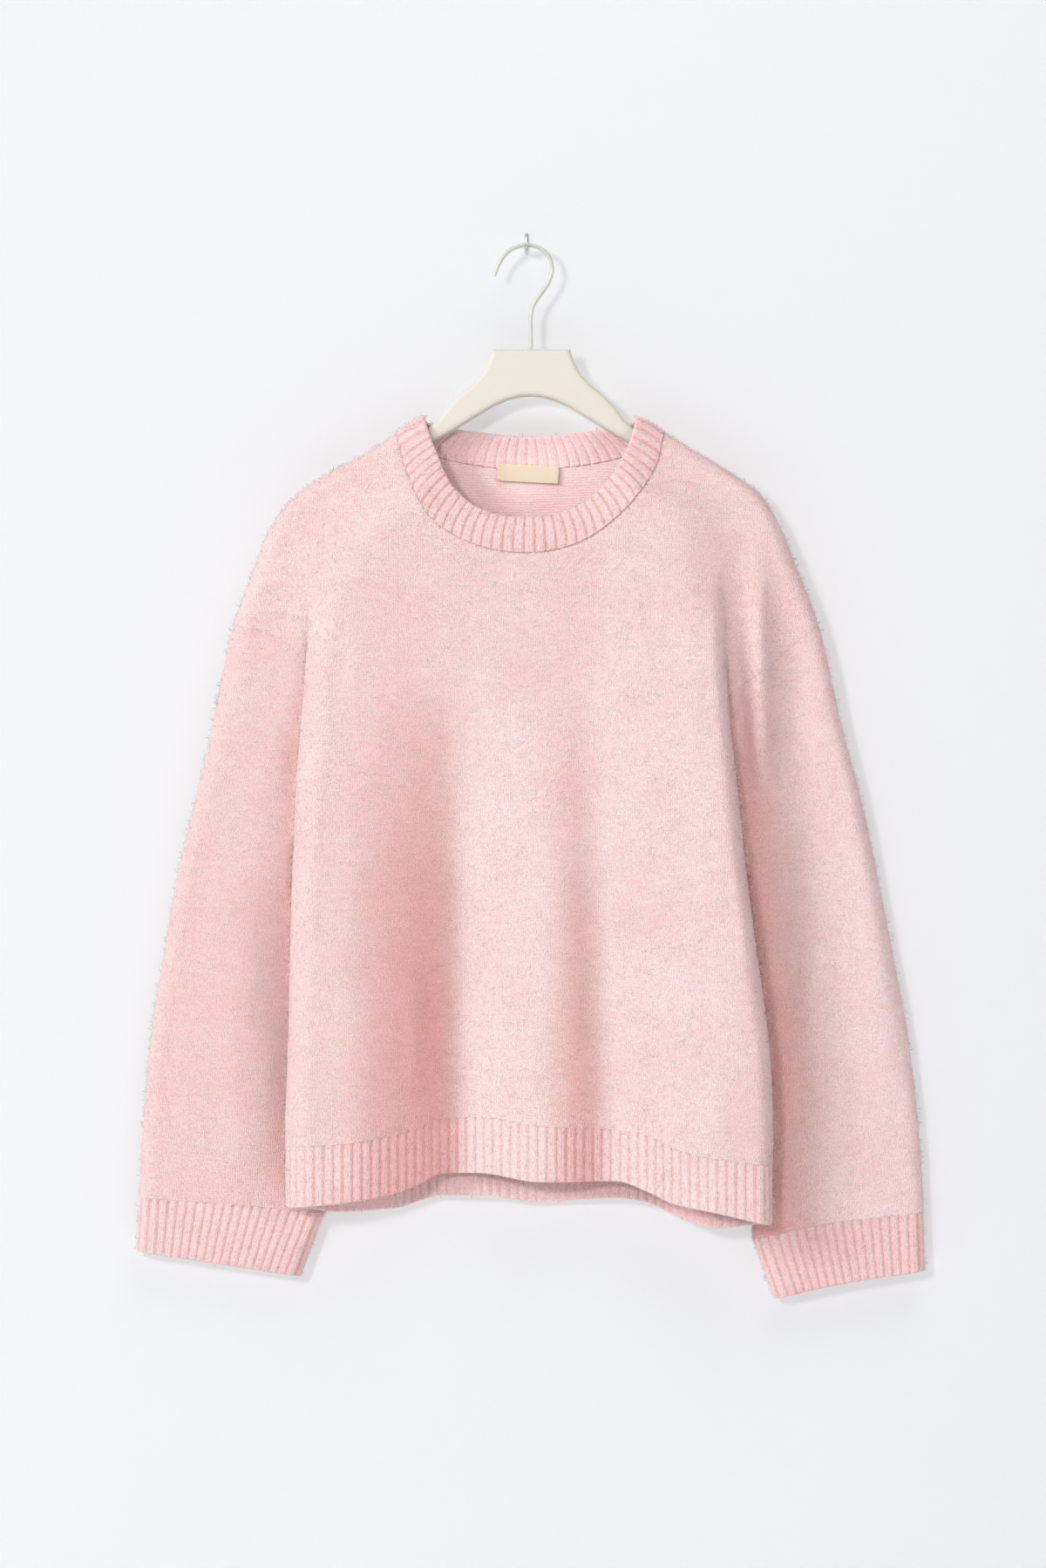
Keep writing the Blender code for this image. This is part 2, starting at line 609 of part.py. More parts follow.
def add(name, mesh, material):
    item = bpy.data.objects.new(name, mesh)
    item.data.materials.append(material)
    bpy.context.scene.collection.objects.link(item)
    return item


def finish(name, colour, roughness, metallic=0.0):
    material = bpy.data.materials.new(name)
    material.use_nodes = True
    shader = material.node_tree.nodes["Principled BSDF"]
    shader.inputs["Base Color"].default_value = (*colour, 1)
    shader.inputs["Roughness"].default_value = roughness
    shader.inputs["Metallic"].default_value = metallic
    return material


# ---- label and hanger ------------------------------------------------------------------------------------------

def label_grid():
    """A strip in front of the back neck seam, following the cloth behind it."""
    across = np.linspace(0, LABEL_WIDE, 9)
    down = np.linspace(0, LABEL_DEEP, 4)
    right, low = np.meshgrid(across, down)
    x = LABEL_TOP.x + right * math.cos(LABEL_TILT) + low * math.sin(LABEL_TILT)
    z = LABEL_TOP.z + right * math.sin(LABEL_TILT) - low * math.cos(LABEL_TILT)
    seam_z = track(NECK_BACK, "x", "seam_z")(x)
    cloth = panel_depth(x, np.minimum(z, seam_z), 1)
    clear = COLLAR / 2 + LABEL / 2 + LABEL_CLEAR
    return lift(np.stack((x, z), axis=-1), cloth - clear)


def hanger_outline():
    """Half of the hanger in front view, from the plate's middle round the arm to the arch's middle."""
    first, last = HANGER_UNDER
    reach = np.linspace(first, HANGER_END - TIP_ROUND.z, 6)
    heights = np.linspace(NECK_POINT_Z, SHOULDER_Z, 400)
    line = np.minimum(OUTER_AT[-1](heights), OUTER_AT[1](heights) - HANGER_X) - HANGER_X
    slope = np.gradient(line, heights)
    top = np.interp(reach, line, heights - (KNIT / 2 + HANGER_CLEAR) * np.sqrt(1 + 1 / slope ** 2))
    upper = [(point.x, point.z) for point in HANGER_TOP] + list(zip(reach, top))
    tip = [(HANGER_END, HANGER_END_Z), (HANGER_END + TIP_ROUND.x, HANGER_END_Z - TIP_ROUND.z),
           (HANGER_END - 4 * TIP_ROUND.x, HANGER_END_Z - 2 * TIP_ROUND.z)]
    lower = [(x - HANGER_FLARE, z - HANGER_ARM) for x, z in zip(reach, top) if x < last][::-1]
    arch = [(point.x, point.z) for point in HANGER_ARCH[::-1]]
    return upper + tip + lower + arch


def hanger_mesh():
    half = hanger_outline()
    right = [(HANGER_X + x, z) for x, z in half]
    left = [(HANGER_X - x, z) for x, z in half[::-1] if x > 0]
    form = bmesh.new()
    corners = [form.verts.new((x * MM, -HANGER_DEPTH / 2 * MM, z * MM)) for x, z in right + left]
    face = form.faces.new(corners)
    thick = bmesh.ops.extrude_face_region(form, geom=[face])
    moved = [item for item in thick["geom"] if isinstance(item, bmesh.types.BMVert)]
    bmesh.ops.translate(form, vec=(0, HANGER_DEPTH * MM, 0), verts=moved)
    bmesh.ops.recalc_face_normals(form, faces=form.faces[:])
    rims = [edge for edge in form.edges if abs(edge.verts[0].co.y - edge.verts[1].co.y) < 1e-6]
    bmesh.ops.bevel(form, geom=rims, offset=HANGER_EDGE * MM, segments=3, profile=0.5, affect="EDGES",
                    clamp_overlap=True)
    mesh = bpy.data.meshes.new("hanger_body")
    form.to_mesh(mesh)
    form.free()
    mesh.shade_smooth()
    mesh.set_sharp_from_angle(angle=math.radians(40))
    return mesh


def stem_hole():
    """The cutter for the hook's hole in the hanger's top."""
    deep = PLATE_Z + HOLE_OVER - (STEM_END_Z - SEAM_GAP)
    form = bmesh.new()
    bmesh.ops.create_cone(form, cap_ends=True, segments=16, radius1=(WIRE + SEAM_GAP) * MM,
                          radius2=(WIRE + SEAM_GAP) * MM, depth=deep * MM)
    mesh = bpy.data.meshes.new("stem_hole")
    form.to_mesh(mesh)
    form.free()
    cutter = bpy.data.objects.new("stem_hole", mesh)
    cutter.location = (HANGER_X * MM, 0, (PLATE_Z + HOLE_OVER - deep / 2) * MM)
    cutter.hide_render = True
    cutter.display_type = "WIRE"
    bpy.context.scene.collection.objects.link(cutter)
    return cutter


def hook_curve():
    route = divide(spline([(point.x, point.z) for point in HOOK]), np.linspace(0, 1, 45))
    curve = bpy.data.curves.new("hanger_hook", "CURVE")
    curve.dimensions = "3D"
    curve.bevel_depth = WIRE * MM
    curve.bevel_resolution = 2
    curve.use_fill_caps = True
    line = curve.splines.new("POLY")
    line.points.add(len(route) - 1)
    for point, (x, z) in zip(line.points, route):
        point.co = (x * MM, 0, z * MM, 1)
    return curve


# ---- the object ------------------------------------------------------------------------------------------------

def cut_cloths():
    """Every piece of cloth as a wall, in the sweater's own order."""
    front, back = panel(-1), panel(1)
    sleeves = {side: sleeve(side) for side in SIDES}
    grids = {"front_panel": front, "back_panel": [grid[:, ::-1] for grid in back],
             "sleeve_right": [sleeves[-1]], "sleeve_left": [sleeves[1]],
             "front_hem_rib": [hem(-1, front[1])], "back_hem_rib": [hem(1, back[1])[:, ::-1]],
             "cuff_right": [cuff(-1, sleeves[-1])], "cuff_left": [cuff(1, sleeves[1])]}
    walls = {name: Wall(pieces, KNIT) for name, pieces in grids.items()}
    walls["neck_rib"] = Wall([collar(front[0], back[0])], COLLAR)
    share_normals(walls)
    return walls


def build():
    for item in list(bpy.data.objects):
        bpy.data.objects.remove(item)
    knit = finish("knit", (0.84, 0.56, 0.55), 0.95)
    rib = finish("rib", (0.82, 0.53, 0.52), 0.95)
    woven = finish("label", (0.82, 0.70, 0.52), 0.8)
    moulded = finish("hanger", (0.83, 0.78, 0.70), 0.45)
    painted = finish("hook", (0.74, 0.73, 0.68), 0.35)

    walls = cut_cloths()
    for name, wall in walls.items():
        sewn = {key for other in walls if other != name for key in walls[other].keys}
        mesh = wall.mesh(name, sewn)
        tidy_faces(mesh)
        add(name, mesh, rib if "rib" in name or "cuff" in name else knit)

    label = Wall([label_grid()], LABEL)
    share_normals({"neck_label": label})
    mesh = label.mesh("neck_label")
    tidy_faces(mesh)
    add("neck_label", mesh, woven)

    hanger = add("hanger_body", hanger_mesh(), moulded)
    hole = hanger.modifiers.new("stem_hole", "BOOLEAN")
    hole.object = stem_hole()
    hole.operation = "DIFFERENCE"
    hole.solver = "EXACT"
    add("hanger_hook", hook_curve(), painted)


build()
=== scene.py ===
"""A brushed knit sweater on its hanger, dressed for looking at.

Sizes are in millimetres until a mesh is made. X runs to the wearer's left, -Y is the front, Z is up.
"""
import math
import random
from collections import namedtuple

import bmesh
import bpy
import numpy as np
from mathutils import Matrix, Vector


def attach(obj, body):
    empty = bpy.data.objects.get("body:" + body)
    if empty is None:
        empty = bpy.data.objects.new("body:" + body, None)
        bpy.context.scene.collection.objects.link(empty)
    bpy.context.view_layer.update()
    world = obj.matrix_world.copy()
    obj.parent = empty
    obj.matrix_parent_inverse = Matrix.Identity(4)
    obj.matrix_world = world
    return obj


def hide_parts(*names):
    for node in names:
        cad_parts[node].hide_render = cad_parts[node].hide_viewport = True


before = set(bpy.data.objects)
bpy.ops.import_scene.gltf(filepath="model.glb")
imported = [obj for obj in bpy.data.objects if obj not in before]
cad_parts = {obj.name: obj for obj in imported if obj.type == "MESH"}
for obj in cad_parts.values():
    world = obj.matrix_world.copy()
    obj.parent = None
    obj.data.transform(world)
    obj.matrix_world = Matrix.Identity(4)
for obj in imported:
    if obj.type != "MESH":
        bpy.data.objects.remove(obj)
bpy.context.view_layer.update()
scene = bpy.context.scene
scene.view_settings.view_transform = "Standard"


# ---- Hanger: one moulded arm with a plate for the hook, in a matt cream plastic ----
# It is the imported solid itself, given its colour and the fine grain of the mould.

CREAM = (0.62, 0.59, 0.525)
MOULD_GRAIN = 2600.0        # noise scale of the fine texture left by the mould


def put(tree, kind, *values, into=None, **settings):
    """A node with its settings; its inputs take values or sockets, in their own order or by name."""
    item = tree.nodes.new(kind)
    for key, value in settings.items():
        setattr(item, key, value)
    for place, value in (*enumerate(values), *(into or {}).items()):
        if isinstance(value, bpy.types.NodeSocket):
            tree.links.new(value, item.inputs[place])
        elif value is not None:
            item.inputs[place].default_value = value
    return item


def maths(tree, operation, *values):
    return put(tree, "ShaderNodeMath", *values, operation=operation).outputs[0]


def mix_colour(tree, share, first, second, blend="MIX"):
    """Two colours, mixed or blended by a share."""
    pair = [part if isinstance(part, bpy.types.NodeSocket) else (*part, 1) for part in (first, second)]
    return put(tree, "ShaderNodeMix", share, *[None] * 5, *pair, data_type="RGBA", blend_type=blend).outputs[2]


def darker(colour, share):
    return [share * part for part in colour]


def material(name, roughness, **constants):
    """A material, its node tree and its shader, with the values that are the same all over."""
    made = bpy.data.materials.new(name)
    made.use_nodes = True
    tree = made.node_tree
    shader = tree.nodes["Principled BSDF"]
    shader.inputs["Roughness"].default_value = roughness
    for key, value in constants.items():
        shader.inputs[key.replace("_", " ")].default_value = value
    return made, tree, shader


def mottled(name, roughness, size, first, second, detail=2.0, **constants):
    """A material whose colour drifts between two in clouds, and what more of it is built with."""
    made, tree, shader = material(name, roughness, **constants)
    place = put(tree, "ShaderNodeTexCoord").outputs["Object"]
    clouds = put(tree, "ShaderNodeTexNoise", place, None, size, detail).outputs[0]
    tree.links.new(mix_colour(tree, clouds, first, second), shader.inputs["Base Color"])
    return made, tree, shader, place


moulded, tree, shader, place = mottled("cream moulded plastic", 0.5, 28.0, darker(CREAM, 0.96), CREAM,
                                       Specular_IOR_Level=0.35)
mould = put(tree, "ShaderNodeTexNoise", place, None, MOULD_GRAIN, 2.0).outputs[0]
grain = put(tree, "ShaderNodeBump", 0.12, 0.0002, None, mould).outputs[0]
tree.links.new(grain, shader.inputs["Normal"])
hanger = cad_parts["hanger_body"]
hanger.data.materials.clear()
hanger.data.materials.append(moulded)
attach(hanger, "root")


# ---- Hook: steel wire bent by hand over a form, painted in the hanger's colour ----
# Its stem goes down into the plate.

PAINT = (0.53, 0.53, 0.475)

painted = mottled("painted wire", 0.32, 160.0, darker(PAINT, 0.93), PAINT, detail=3.0, Specular_IOR_Level=0.5)[0]
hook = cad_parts["hanger_hook"]
hook.data.materials.clear()
hook.data.materials.append(painted)
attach(hook, "root")


# ---- Panels: front and back in brushed stockinette, knitted to shape, with low drop shoulders ----
# The cloth hangs from the hanger's arms and falls in three soft ridges. Each sleeve is sewn on below the
# shoulder, and the body folds over it there.

SIDES = (-1, 1)             # the wearer's right and left; -1 is also a front face and 1 a back one
KNIT_THICK = 3.0
NECK_POINT_Z = -150
FOLD_TOP_Z = -251
SHOULDER_Z = -304
CREASE_Z = {-1: -336, 1: -361}
UNDERARM_Z = {-1: -480, 1: -494}
FOLDS_END_Z = -740


def table(fields, *rows):
    """Sizes given in rows, each with the same named fields."""
    kind = namedtuple("Row", fields)
    return [kind(*row) for row in rows]


OUTER = table(
    "z right left",
    (-150, 105.5, 107), (-164, 126, 131), (-187, 168, 168), (-200, 186, 185), (-226, 206.5, 200.5),
    (-261, 220.5, 214.5), (-304, 236, 231), (-386, 253.5, 250), (-442, 266.5, 265), (-500, 281, 278),
    (-570, 293, 292), (-636, 303.5, 304), (-710, 310, 312.5), (-765, 312.5, 316), (-825, 317, 318))
EDGE = table(
    "z right left",
    (-251, 186, 151), (-300, 176, 155), (-347, 179, 157), (-387, 182, 160), (-430, 185.5, 165), (-500, 188.5, 172.5),
    (-560, 190, 180), (-645, 192, 191), (-710, 194, 194), (-768, 192, 192))
ARMHOLE = table("right right_z left left_z", (220, -308, 214, -318), (202, -314, 192, -337), (188, -324, 174, -350))
NECK_ROW = "x seam_z rim_x rim_z rim_y"
NECK_FRONT = table(
    NECK_ROW,
    (-105.5, -150, -84, -135.5, 0), (-104, -158, -82.5, -142.5, -8), (-97, -182, -75, -163, -12),
    (-78, -219, -61, -193, -18), (-42, -240, -35, -213, -22), (0, -246, 0, -218, -23), (42, -237, 36, -210.5, -22),
    (77, -211, 63, -188, -18), (99, -180, 79, -160, -12), (105.5, -158, 84, -144, -8), (107, -150, 85.5, -137, 0))
NECK_BACK = table(
    NECK_ROW,
    (107, -150, 85.5, -137, 0), (104.5, -156, 83.5, -141.5, 7.5), (93, -162, 76, -143, 10),
    (55, -172.5, 47, -147, 14), (0, -178, 0, -151, 16), (-55, -172.5, -47, -147, 14), (-93, -161, -76, -142, 10),
    (-103, -155, -82, -140.5, 7.5), (-105.5, -150, -84, -135.5, 0))
HEM = table(
    "x seam edge back_seam back_edge",
    (-192, -720, -769, -720, -769), (-150, -718, -765, -724, -774), (-108, -711, -758, -724, -773),
    (-88, -706, -751, -718, -767), (-70, -699, -743, -712, -762), (-38, -698, -743, -712, -762),
    (8, -704, -749, -717, -768), (70, -708, -749, -714, -764), (95, -712, -757, -717, -768),
    (115, -722, -766, -726, -777), (150, -730, -773, -735, -787), (192, -735, -783, -735, -783))

# The front's folds, level by level: three crests, with a valley on each side of the middle one, from right
# to left, where each stands across the body and how far it comes forward
FRONT_LEVELS = table(
    "z crest1 out1 valley1 in1 crest2 out2 valley2 in2 crest3 out3",
    (-200, -142, 26, -60, 26, 30, 26, 48, 26, 128, 26), (-280, -142, 26, -60, 25.5, 26, 26, 48, 26, 132, 31),
    (-340, -142, 27, -60, 23, 20, 26, 48, 26, 138, 36.5), (-400, -142, 29, -58, 16, 18, 26.5, 48, 23, 144, 39.5),
    (-460, -142, 31.5, -56, 9, 18, 26.5, 50, 20, 150, 39.5),
    (-520, -142, 34, -55, 3.5, 18, 26.5, 52, 16.5, 158, 39.5), (-580, -140, 36, -54, 0.5, 18, 25.5, 54, 12, 162, 39),
    (-640, -140, 36.5, -54, 0, 16, 24.5, 57, 9, 154, 38), (-760, -146, 36.5, -50, 0, 14, 24, 61, 8.5, 146, 36))
RIGHT_FALL = (1.4, 1.9)     # how the cloth leaves the first and second crest on their left
LEFT_FALL = (1.5, 1.2)      # and the second and third crest on their right
VALLEY_ROUND = 10           # the valleys are rounded over this much to each side

BACK_FOLDS = table(
    "top_z top_x hem_x rise fall depth",
    (-360, -96, -112, 60, 62, 12), (-420, 20, 16, 66, 60, 10), (-390, 118, 126, 50, 56, 12))

# Soft creases, listed one by one: both ends, half width and height of the crease (below nought it is a dip)
CREASE_ROW = "x z low_x low_z width depth"
CREASE_END = 0.35           # share of its length over which a crease grows and dies
FRONT_CREASES = table(
    CREASE_ROW,
    (-120, -196, -150, -262, 13, -1.2), (-168, -214, -186, -300, 9, 1.3), (-92, -252, -118, -330, 20, -1.1),
    (-150, -300, -166, -392, 12, -1.5), (118, -196, 138, -268, 12, -1.3), (152, -232, 148, -330, 8, 1.6),
    (96, -262, 112, -352, 22, -1.3), (140, -330, 150, -452, 11, -1.6), (-40, -268, -52, -372, 30, 1.0),
    (44, -262, 58, -360, 26, -0.9), (-176, -430, -178, -560, 8, 1.1), (-128, -470, -132, -640, 14, -1.4),
    (164, -470, 176, -600, 9, 1.2), (136, -540, 150, -700, 13, -1.5), (-20, -560, -24, -700, 9, 1.3),
    (18, -600, 20, -705, 8, -1.0), (-96, -560, -92, -690, 7, 1.2), (84, -620, 88, -712, 7, 1.2))
BACK_CREASES = table(
    CREASE_ROW,
    (-60, -214, -150, -248, 12, -1.6), (66, -212, 152, -244, 11, -1.5), (-20, -230, -34, -330, 26, 1.3),
    (52, -250, 74, -360, 22, -1.5), (-130, -290, -146, -420, 14, 1.6), (134, -300, 142, -430, 13, 1.4),
    (-52, -420, -60, -600, 16, -1.8), (92, -460, 86, -640, 14, -1.6), (-4, -560, 2, -700, 10, 1.4),
    (-140, -560, -150, -700, 11, 1.5), (150, -590, 158, -720, 10, -1.3), (40, -640, 44, -712, 8, 1.2))

CHEST = 26                  # depth of the front, and of the back below
BACK = 16
OUTER_DEEP = 9              # depth that both fall to at the outer line, over these spans
CHEST_SPAN = 80
BACK_SPAN = 60
BACK_HOLLOW = 6             # how far the low back comes forward
ARM = 12                    # half depth of the sleeve, which thins downwards over this much
ARM_AT_CUFF = 8
THIN_DEEP = 400
ARM_BACK = 15               # how far back it swings
FOLD_FRONT = -10            # depths of the armhole's fold lines, of the underarm and of the side seam
FOLD_BACK = 12
UNDERARM_Y = 2
SIDE_SEAM = -12
EDGE_ROUND = {(-1, -1): 20, (-1, 1): 12, (1, -1): 7, (1, 1): 7}     # by face and side
BACK_TUCK = -6              # the back's sides come forward to here, from this far out, over a width and a height
TUCK_FROM = 95
TUCK_WIDE = 60
TUCK_DEEP = 300
HOLLOW_AT = (-400, 300)     # from this height, over this much
FORK_DEEP = 45              # body and sleeve part over this much below the underarm
SWING_DEEP = 260            # the arm swings back over this much below the shoulder
INNER_DEEP = 150            # the sleeve's inner line goes behind the body over this much
ARM_ROUND = 12              # radii of the sleeve's outer and inner turn, and of the shoulder's outer edge
INNER_ROUND = 10
SHOULDER_ROUND = 11
FOLD_BLEND = 34             # body and arm blend over this much on each side of the fold line
SEAM_WIDE = 1.7             # the outer face dips along the linked seams
SEAM_DEEP = 1.0

ROUND_STEPS = (0, 0.5, 1.3, 2.5, 4.1, 6.2, 8.8, 11.9, 15.4)    # the mesh is closer where an edge is rounded
BODY_COLUMNS = 144
ARM_COLUMNS = 48
YOKE_ROWS = 52
FOLD_ROWS = 34
SIDE_ROWS = 62
SLEEVE_ROWS = 84
SIDE_LONG = 240             # about how long the rows run, which sets how close they stand
SLEEVE_LONG = 480
INNER_LONG = 300


def track(rows, key, value):
    """A smooth function of one column of a table through another, with no overshoot."""
    pairs = sorted((getattr(row, key), getattr(row, value)) for row in rows)
    at = np.array([pair[0] for pair in pairs], float)
    values = np.array([pair[1] for pair in pairs], float)
    slopes = np.diff(values) / np.diff(at)
    before, after = slopes[:-1], slopes[1:]
    total = np.where(before * after > 0, before + after, 1.0)
    inner = np.where(before * after > 0, 2 * before * after / total, 0.0)
    tangents = np.concatenate(([slopes[0]], inner, [slopes[-1]]))

    def read(place):
        place = np.clip(np.asarray(place, float), at[0], at[-1])
        index = np.clip(np.searchsorted(at, place) - 1, 0, len(at) - 2)
        width = at[index + 1] - at[index]
        share = (place - at[index]) / width
        low, high = values[index], values[index + 1]
        start, end = tangents[index] * width, tangents[index + 1] * width
        bend = share * share * (3 - 2 * share)
        return (low * (1 - bend) + high * bend + start * share * (1 - share) ** 2
                - end * share * share * (1 - share))
    return read


def spline(points, steps=12):
    """A dense smooth curve through a few points."""
    points = np.array(points, float)
    padded = np.vstack((2 * points[0] - points[1], points, 2 * points[-1] - points[-2]))
    share = np.linspace(0, 1, steps, endpoint=False)[:, None]
    dense = []
    for before, start, end, after in zip(padded, padded[1:], padded[2:], padded[3:]):
        dense.append(start + 0.5 * share * (end - before + share * (2 * before - 5 * start + 4 * end - after
                     + share * (3 * (start - end) + after - before))))
    return np.vstack(dense + [points[-1:]])


def distances(points):
    """How far along a line each of its points is."""
    return np.concatenate(([0], np.cumsum(np.linalg.norm(np.diff(points, axis=0), axis=1))))


def divide(points, shares):
    """Points at the given shares (0 to 1) of a dense line's length."""
    points = np.asarray(points, float)
    along = distances(points)
    return np.stack([np.interp(shares, along / along[-1], column) for column in points.T], axis=1)


def length(points):
    return float(np.linalg.norm(np.diff(points, axis=0), axis=1).sum())


def spacing(total, count, start=False, end=False):
    """Shares for count steps, drawn together at the ends that are rounded."""
    near = [step / total for step in ROUND_STEPS]
    first = near if start else near[:1]
    last = [1 - share for share in reversed(near if end else near[:1])]
    middle = np.linspace(first[-1], last[0], count - len(first) - len(last) + 3)
    return np.concatenate((first, middle[1:-1], last))


def ease(share):
    share = np.clip(share, 0, 1)
    return share * share * (3 - 2 * share)


def quarter(distance, radius):
    """How far a surface has come round its edge: 0 on the edge, 1 past the radius."""
    share = np.clip(distance / radius, 0, 1)
    return np.sqrt(np.clip(1 - (1 - share) ** 2, 0, 1))


OUTER_AT = {-1: track(OUTER, "z", "right"), 1: track(OUTER, "z", "left")}
EDGE_AT = {-1: track(EDGE, "z", "right"), 1: track(EDGE, "z", "left")}


def outer_distance(side, reach, z):
    """Distance in from the outer silhouette, square to it."""
    slope = (OUTER_AT[side](z + 1) - OUTER_AT[side](z - 1)) / 2
    return np.clip((OUTER_AT[side](z) - reach) / np.sqrt(1 + slope * slope), 0, None)


def below(z, top, span):
    """0 above a height, 1 once span below it."""
    return np.clip((top - z) / span, 0, 1)


def throat(side, z):
    """How far the armhole's front and back fold lines stand apart."""
    return np.sqrt(np.clip(1 - below(z, CREASE_Z[side], CREASE_Z[side] - UNDERARM_Z[side]) ** 2.5, 0, 1))


def fork(side, z):
    """How far body and sleeve have parted below the underarm."""
    return below(z, UNDERARM_Z[side], FORK_DEEP) ** 0.6


def crease_depth(side, z, face):
    """The fold line between body and arm, down to the underarm."""
    return UNDERARM_Y + ((FOLD_FRONT if face < 0 else FOLD_BACK) - UNDERARM_Y) * throat(side, z)


def side_depth(side, z, face):
    """The body's own edge: fold line, then side seam."""
    seam = UNDERARM_Y + (SIDE_SEAM - UNDERARM_Y) * fork(side, z)
    return np.where(z > UNDERARM_Z[side], crease_depth(side, z, face), seam)


def arm_centre(z):
    return ARM_BACK * ease(below(z, SHOULDER_Z, SWING_DEEP))


def ridges(folds, x, z):
    total = np.zeros_like(x)
    for fold in folds:
        grown = below(z, fold.top_z, fold.top_z - FOLDS_END_Z)
        crest = fold.top_x + (fold.hem_x - fold.top_x) * grown
        width = np.where(x < crest, fold.rise, fold.fall)
        bump = 0.5 + 0.5 * np.cos(np.pi * np.clip((x - crest) / width, -1, 1))
        total += fold.depth * grown ** 0.8 * bump
    return total


LEVEL_AT = [track(FRONT_LEVELS, "z", name) for name in FRONT_LEVELS[0]._fields[1:]]


def swell(x, z):
    """How far the front comes forward between its crests and valleys; level beyond the first and the last."""
    crest1, out1, valley1, in1, crest2, out2, valley2, in2, crest3, out3 = (read(z) for read in LEVEL_AT)

    def slope(place, crest, out, valley, low, power):
        share = np.clip((place - crest) / (valley - crest), 0, 1)
        return out + (low - out) * share ** power

    total = np.zeros_like(x)
    for shift in np.linspace(-VALLEY_ROUND, VALLEY_ROUND, 5):
        place = x + shift
        right = slope(place, crest1, out1, valley1, in1, RIGHT_FALL[0])
        middle_right = slope(place, crest2, out2, valley1, in1, LEFT_FALL[0])
        middle_left = slope(place, crest2, out2, valley2, in2, RIGHT_FALL[1])
        left = slope(place, crest3, out3, valley2, in2, LEFT_FALL[1])
        middle = np.where(place < crest2, middle_right, middle_left)
        total += np.where(place < valley1, right, np.where(place < valley2, middle, left)) / 5
    return total


def creases(rows, x, z):
    """Height added by the soft creases: each swells and dies along its line."""
    total = np.zeros_like(x)
    for crease in rows:
        run = np.array((crease.low_x - crease.x, crease.low_z - crease.z), float)
        size = np.hypot(*run)
        along = ((x - crease.x) * run[0] + (z - crease.z) * run[1]) / size ** 2
        off = ((x - crease.x) * run[1] - (z - crease.z) * run[0]) / size
        grown = ease(along / CREASE_END) * ease((1 - along) / CREASE_END)
        total += crease.depth * grown * np.exp(-(off / crease.width) ** 2)
    return total


def body_depth(x, z, face, side):
    """Middle of the front or back cloth, away from its edges."""
    if face < 0:
        chest = OUTER_DEEP + (CHEST - OUTER_DEEP) * ease(outer_distance(side, np.abs(x), z) / CHEST_SPAN)
        return -(chest + swell(x, z) - CHEST + creases(FRONT_CREASES, x, z))
    back = OUTER_DEEP + (BACK - OUTER_DEEP) * ease(outer_distance(side, np.abs(x), z) / BACK_SPAN)
    hollow = BACK_HOLLOW * ease(below(z, *HOLLOW_AT))
    back = back + ridges(BACK_FOLDS, x, z) - hollow + creases(BACK_CREASES, x, z)
    tuck = ease((np.abs(x) - TUCK_FROM) / TUCK_WIDE) * ease(below(z, SHOULDER_Z, TUCK_DEEP))
    return back * (1 - tuck) + BACK_TUCK * tuck


# The arm's depth is needed here too, for the part of the panel above the sleeve's seam
TROUGH_ROW = "side top top_z low low_z width depth"
FRONT_TROUGHS = table(TROUGH_ROW, (-1, 194, -505, 189, -760, 24, 8), (1, 208, -230, 216, -640, 19, 8))
BACK_TROUGHS = table(TROUGH_ROW, (-1, 214, -400, 236, -600, 24, 5), (1, 222, -420, 232, -610, 26, 5))
SLEEVE_CREASES = {
    -1: table(
        CREASE_ROW,
        (-232, -330, -226, -420, 14, 1.2), (-262, -430, -270, -540, 12, -1.0), (-240, -470, -262, -590, 12, 1.3),
        (-208, -600, -214, -740, 12, 1.2), (-286, -590, -292, -740, 9, -1.0), (-250, -640, -256, -760, 10, -1.1)),
    1: table(
        CREASE_ROW,
        (222, -330, 236, -440, 12, 1.2), (181, -225, 188, -470, 9, 9.5), (260, -330, 284, -745, 20, 5.0),
        (224, -540, 232, -680, 12, 1.4), (280, -560, 290, -720, 10, 1.0), (256, -640, 262, -770, 10, -1.2))}
CUFF_INNER = {-1: (166, 185), 1: (181, 198)}


def sleeve_inner(side, z):
    """The sleeve's inner line: the fold line, then behind the body."""
    tuck = ease(below(z, UNDERARM_Z[side], INNER_DEEP))
    return EDGE_AT[side](np.maximum(z, UNDERARM_Z[side])) * (1 - tuck) + CUFF_INNER[side][0] * tuck


def sleeve_inner_depth(side, z, face):
    line = UNDERARM_Y + (arm_centre(z) - UNDERARM_Y) * fork(side, z)
    return np.where(z > UNDERARM_Z[side], crease_depth(side, z, face), line)


def troughs(rows, side, reach, z):
    total = np.zeros_like(reach)
    for trough in rows:
        if trough.side != side:
            continue
        along = (trough.top_z - z) / (trough.top_z - trough.low_z)
        middle = trough.top + (trough.low - trough.top) * np.clip(along, 0, 1)
        ends = np.clip(1 - (2 * along - 1) ** 2, 0, 1)
        total += trough.depth * ends * np.exp(-((reach - middle) / trough.width) ** 2)
    return total


def arm_depth(side, reach, z, face):
    """The sleeve, and the part of the panel above its seam."""
    half = ARM + (ARM_AT_CUFF - ARM) * ease(below(z, SHOULDER_Z, THIN_DEEP))
    rows = FRONT_TROUGHS if face < 0 else BACK_TROUGHS
    half = half - troughs(rows, side, reach, z) + creases(SLEEVE_CREASES[side], side * reach, z)
    middle = arm_centre(z) + face * half
    inner = sleeve_inner(side, z)
    outer_turn = 1 - quarter(outer_distance(side, reach, z), ARM_ROUND)
    inner_turn = 1 - quarter(reach - inner, INNER_ROUND)
    return (middle + (arm_centre(z) - middle) * outer_turn
            + (sleeve_inner_depth(side, z, face) - middle) * inner_turn)


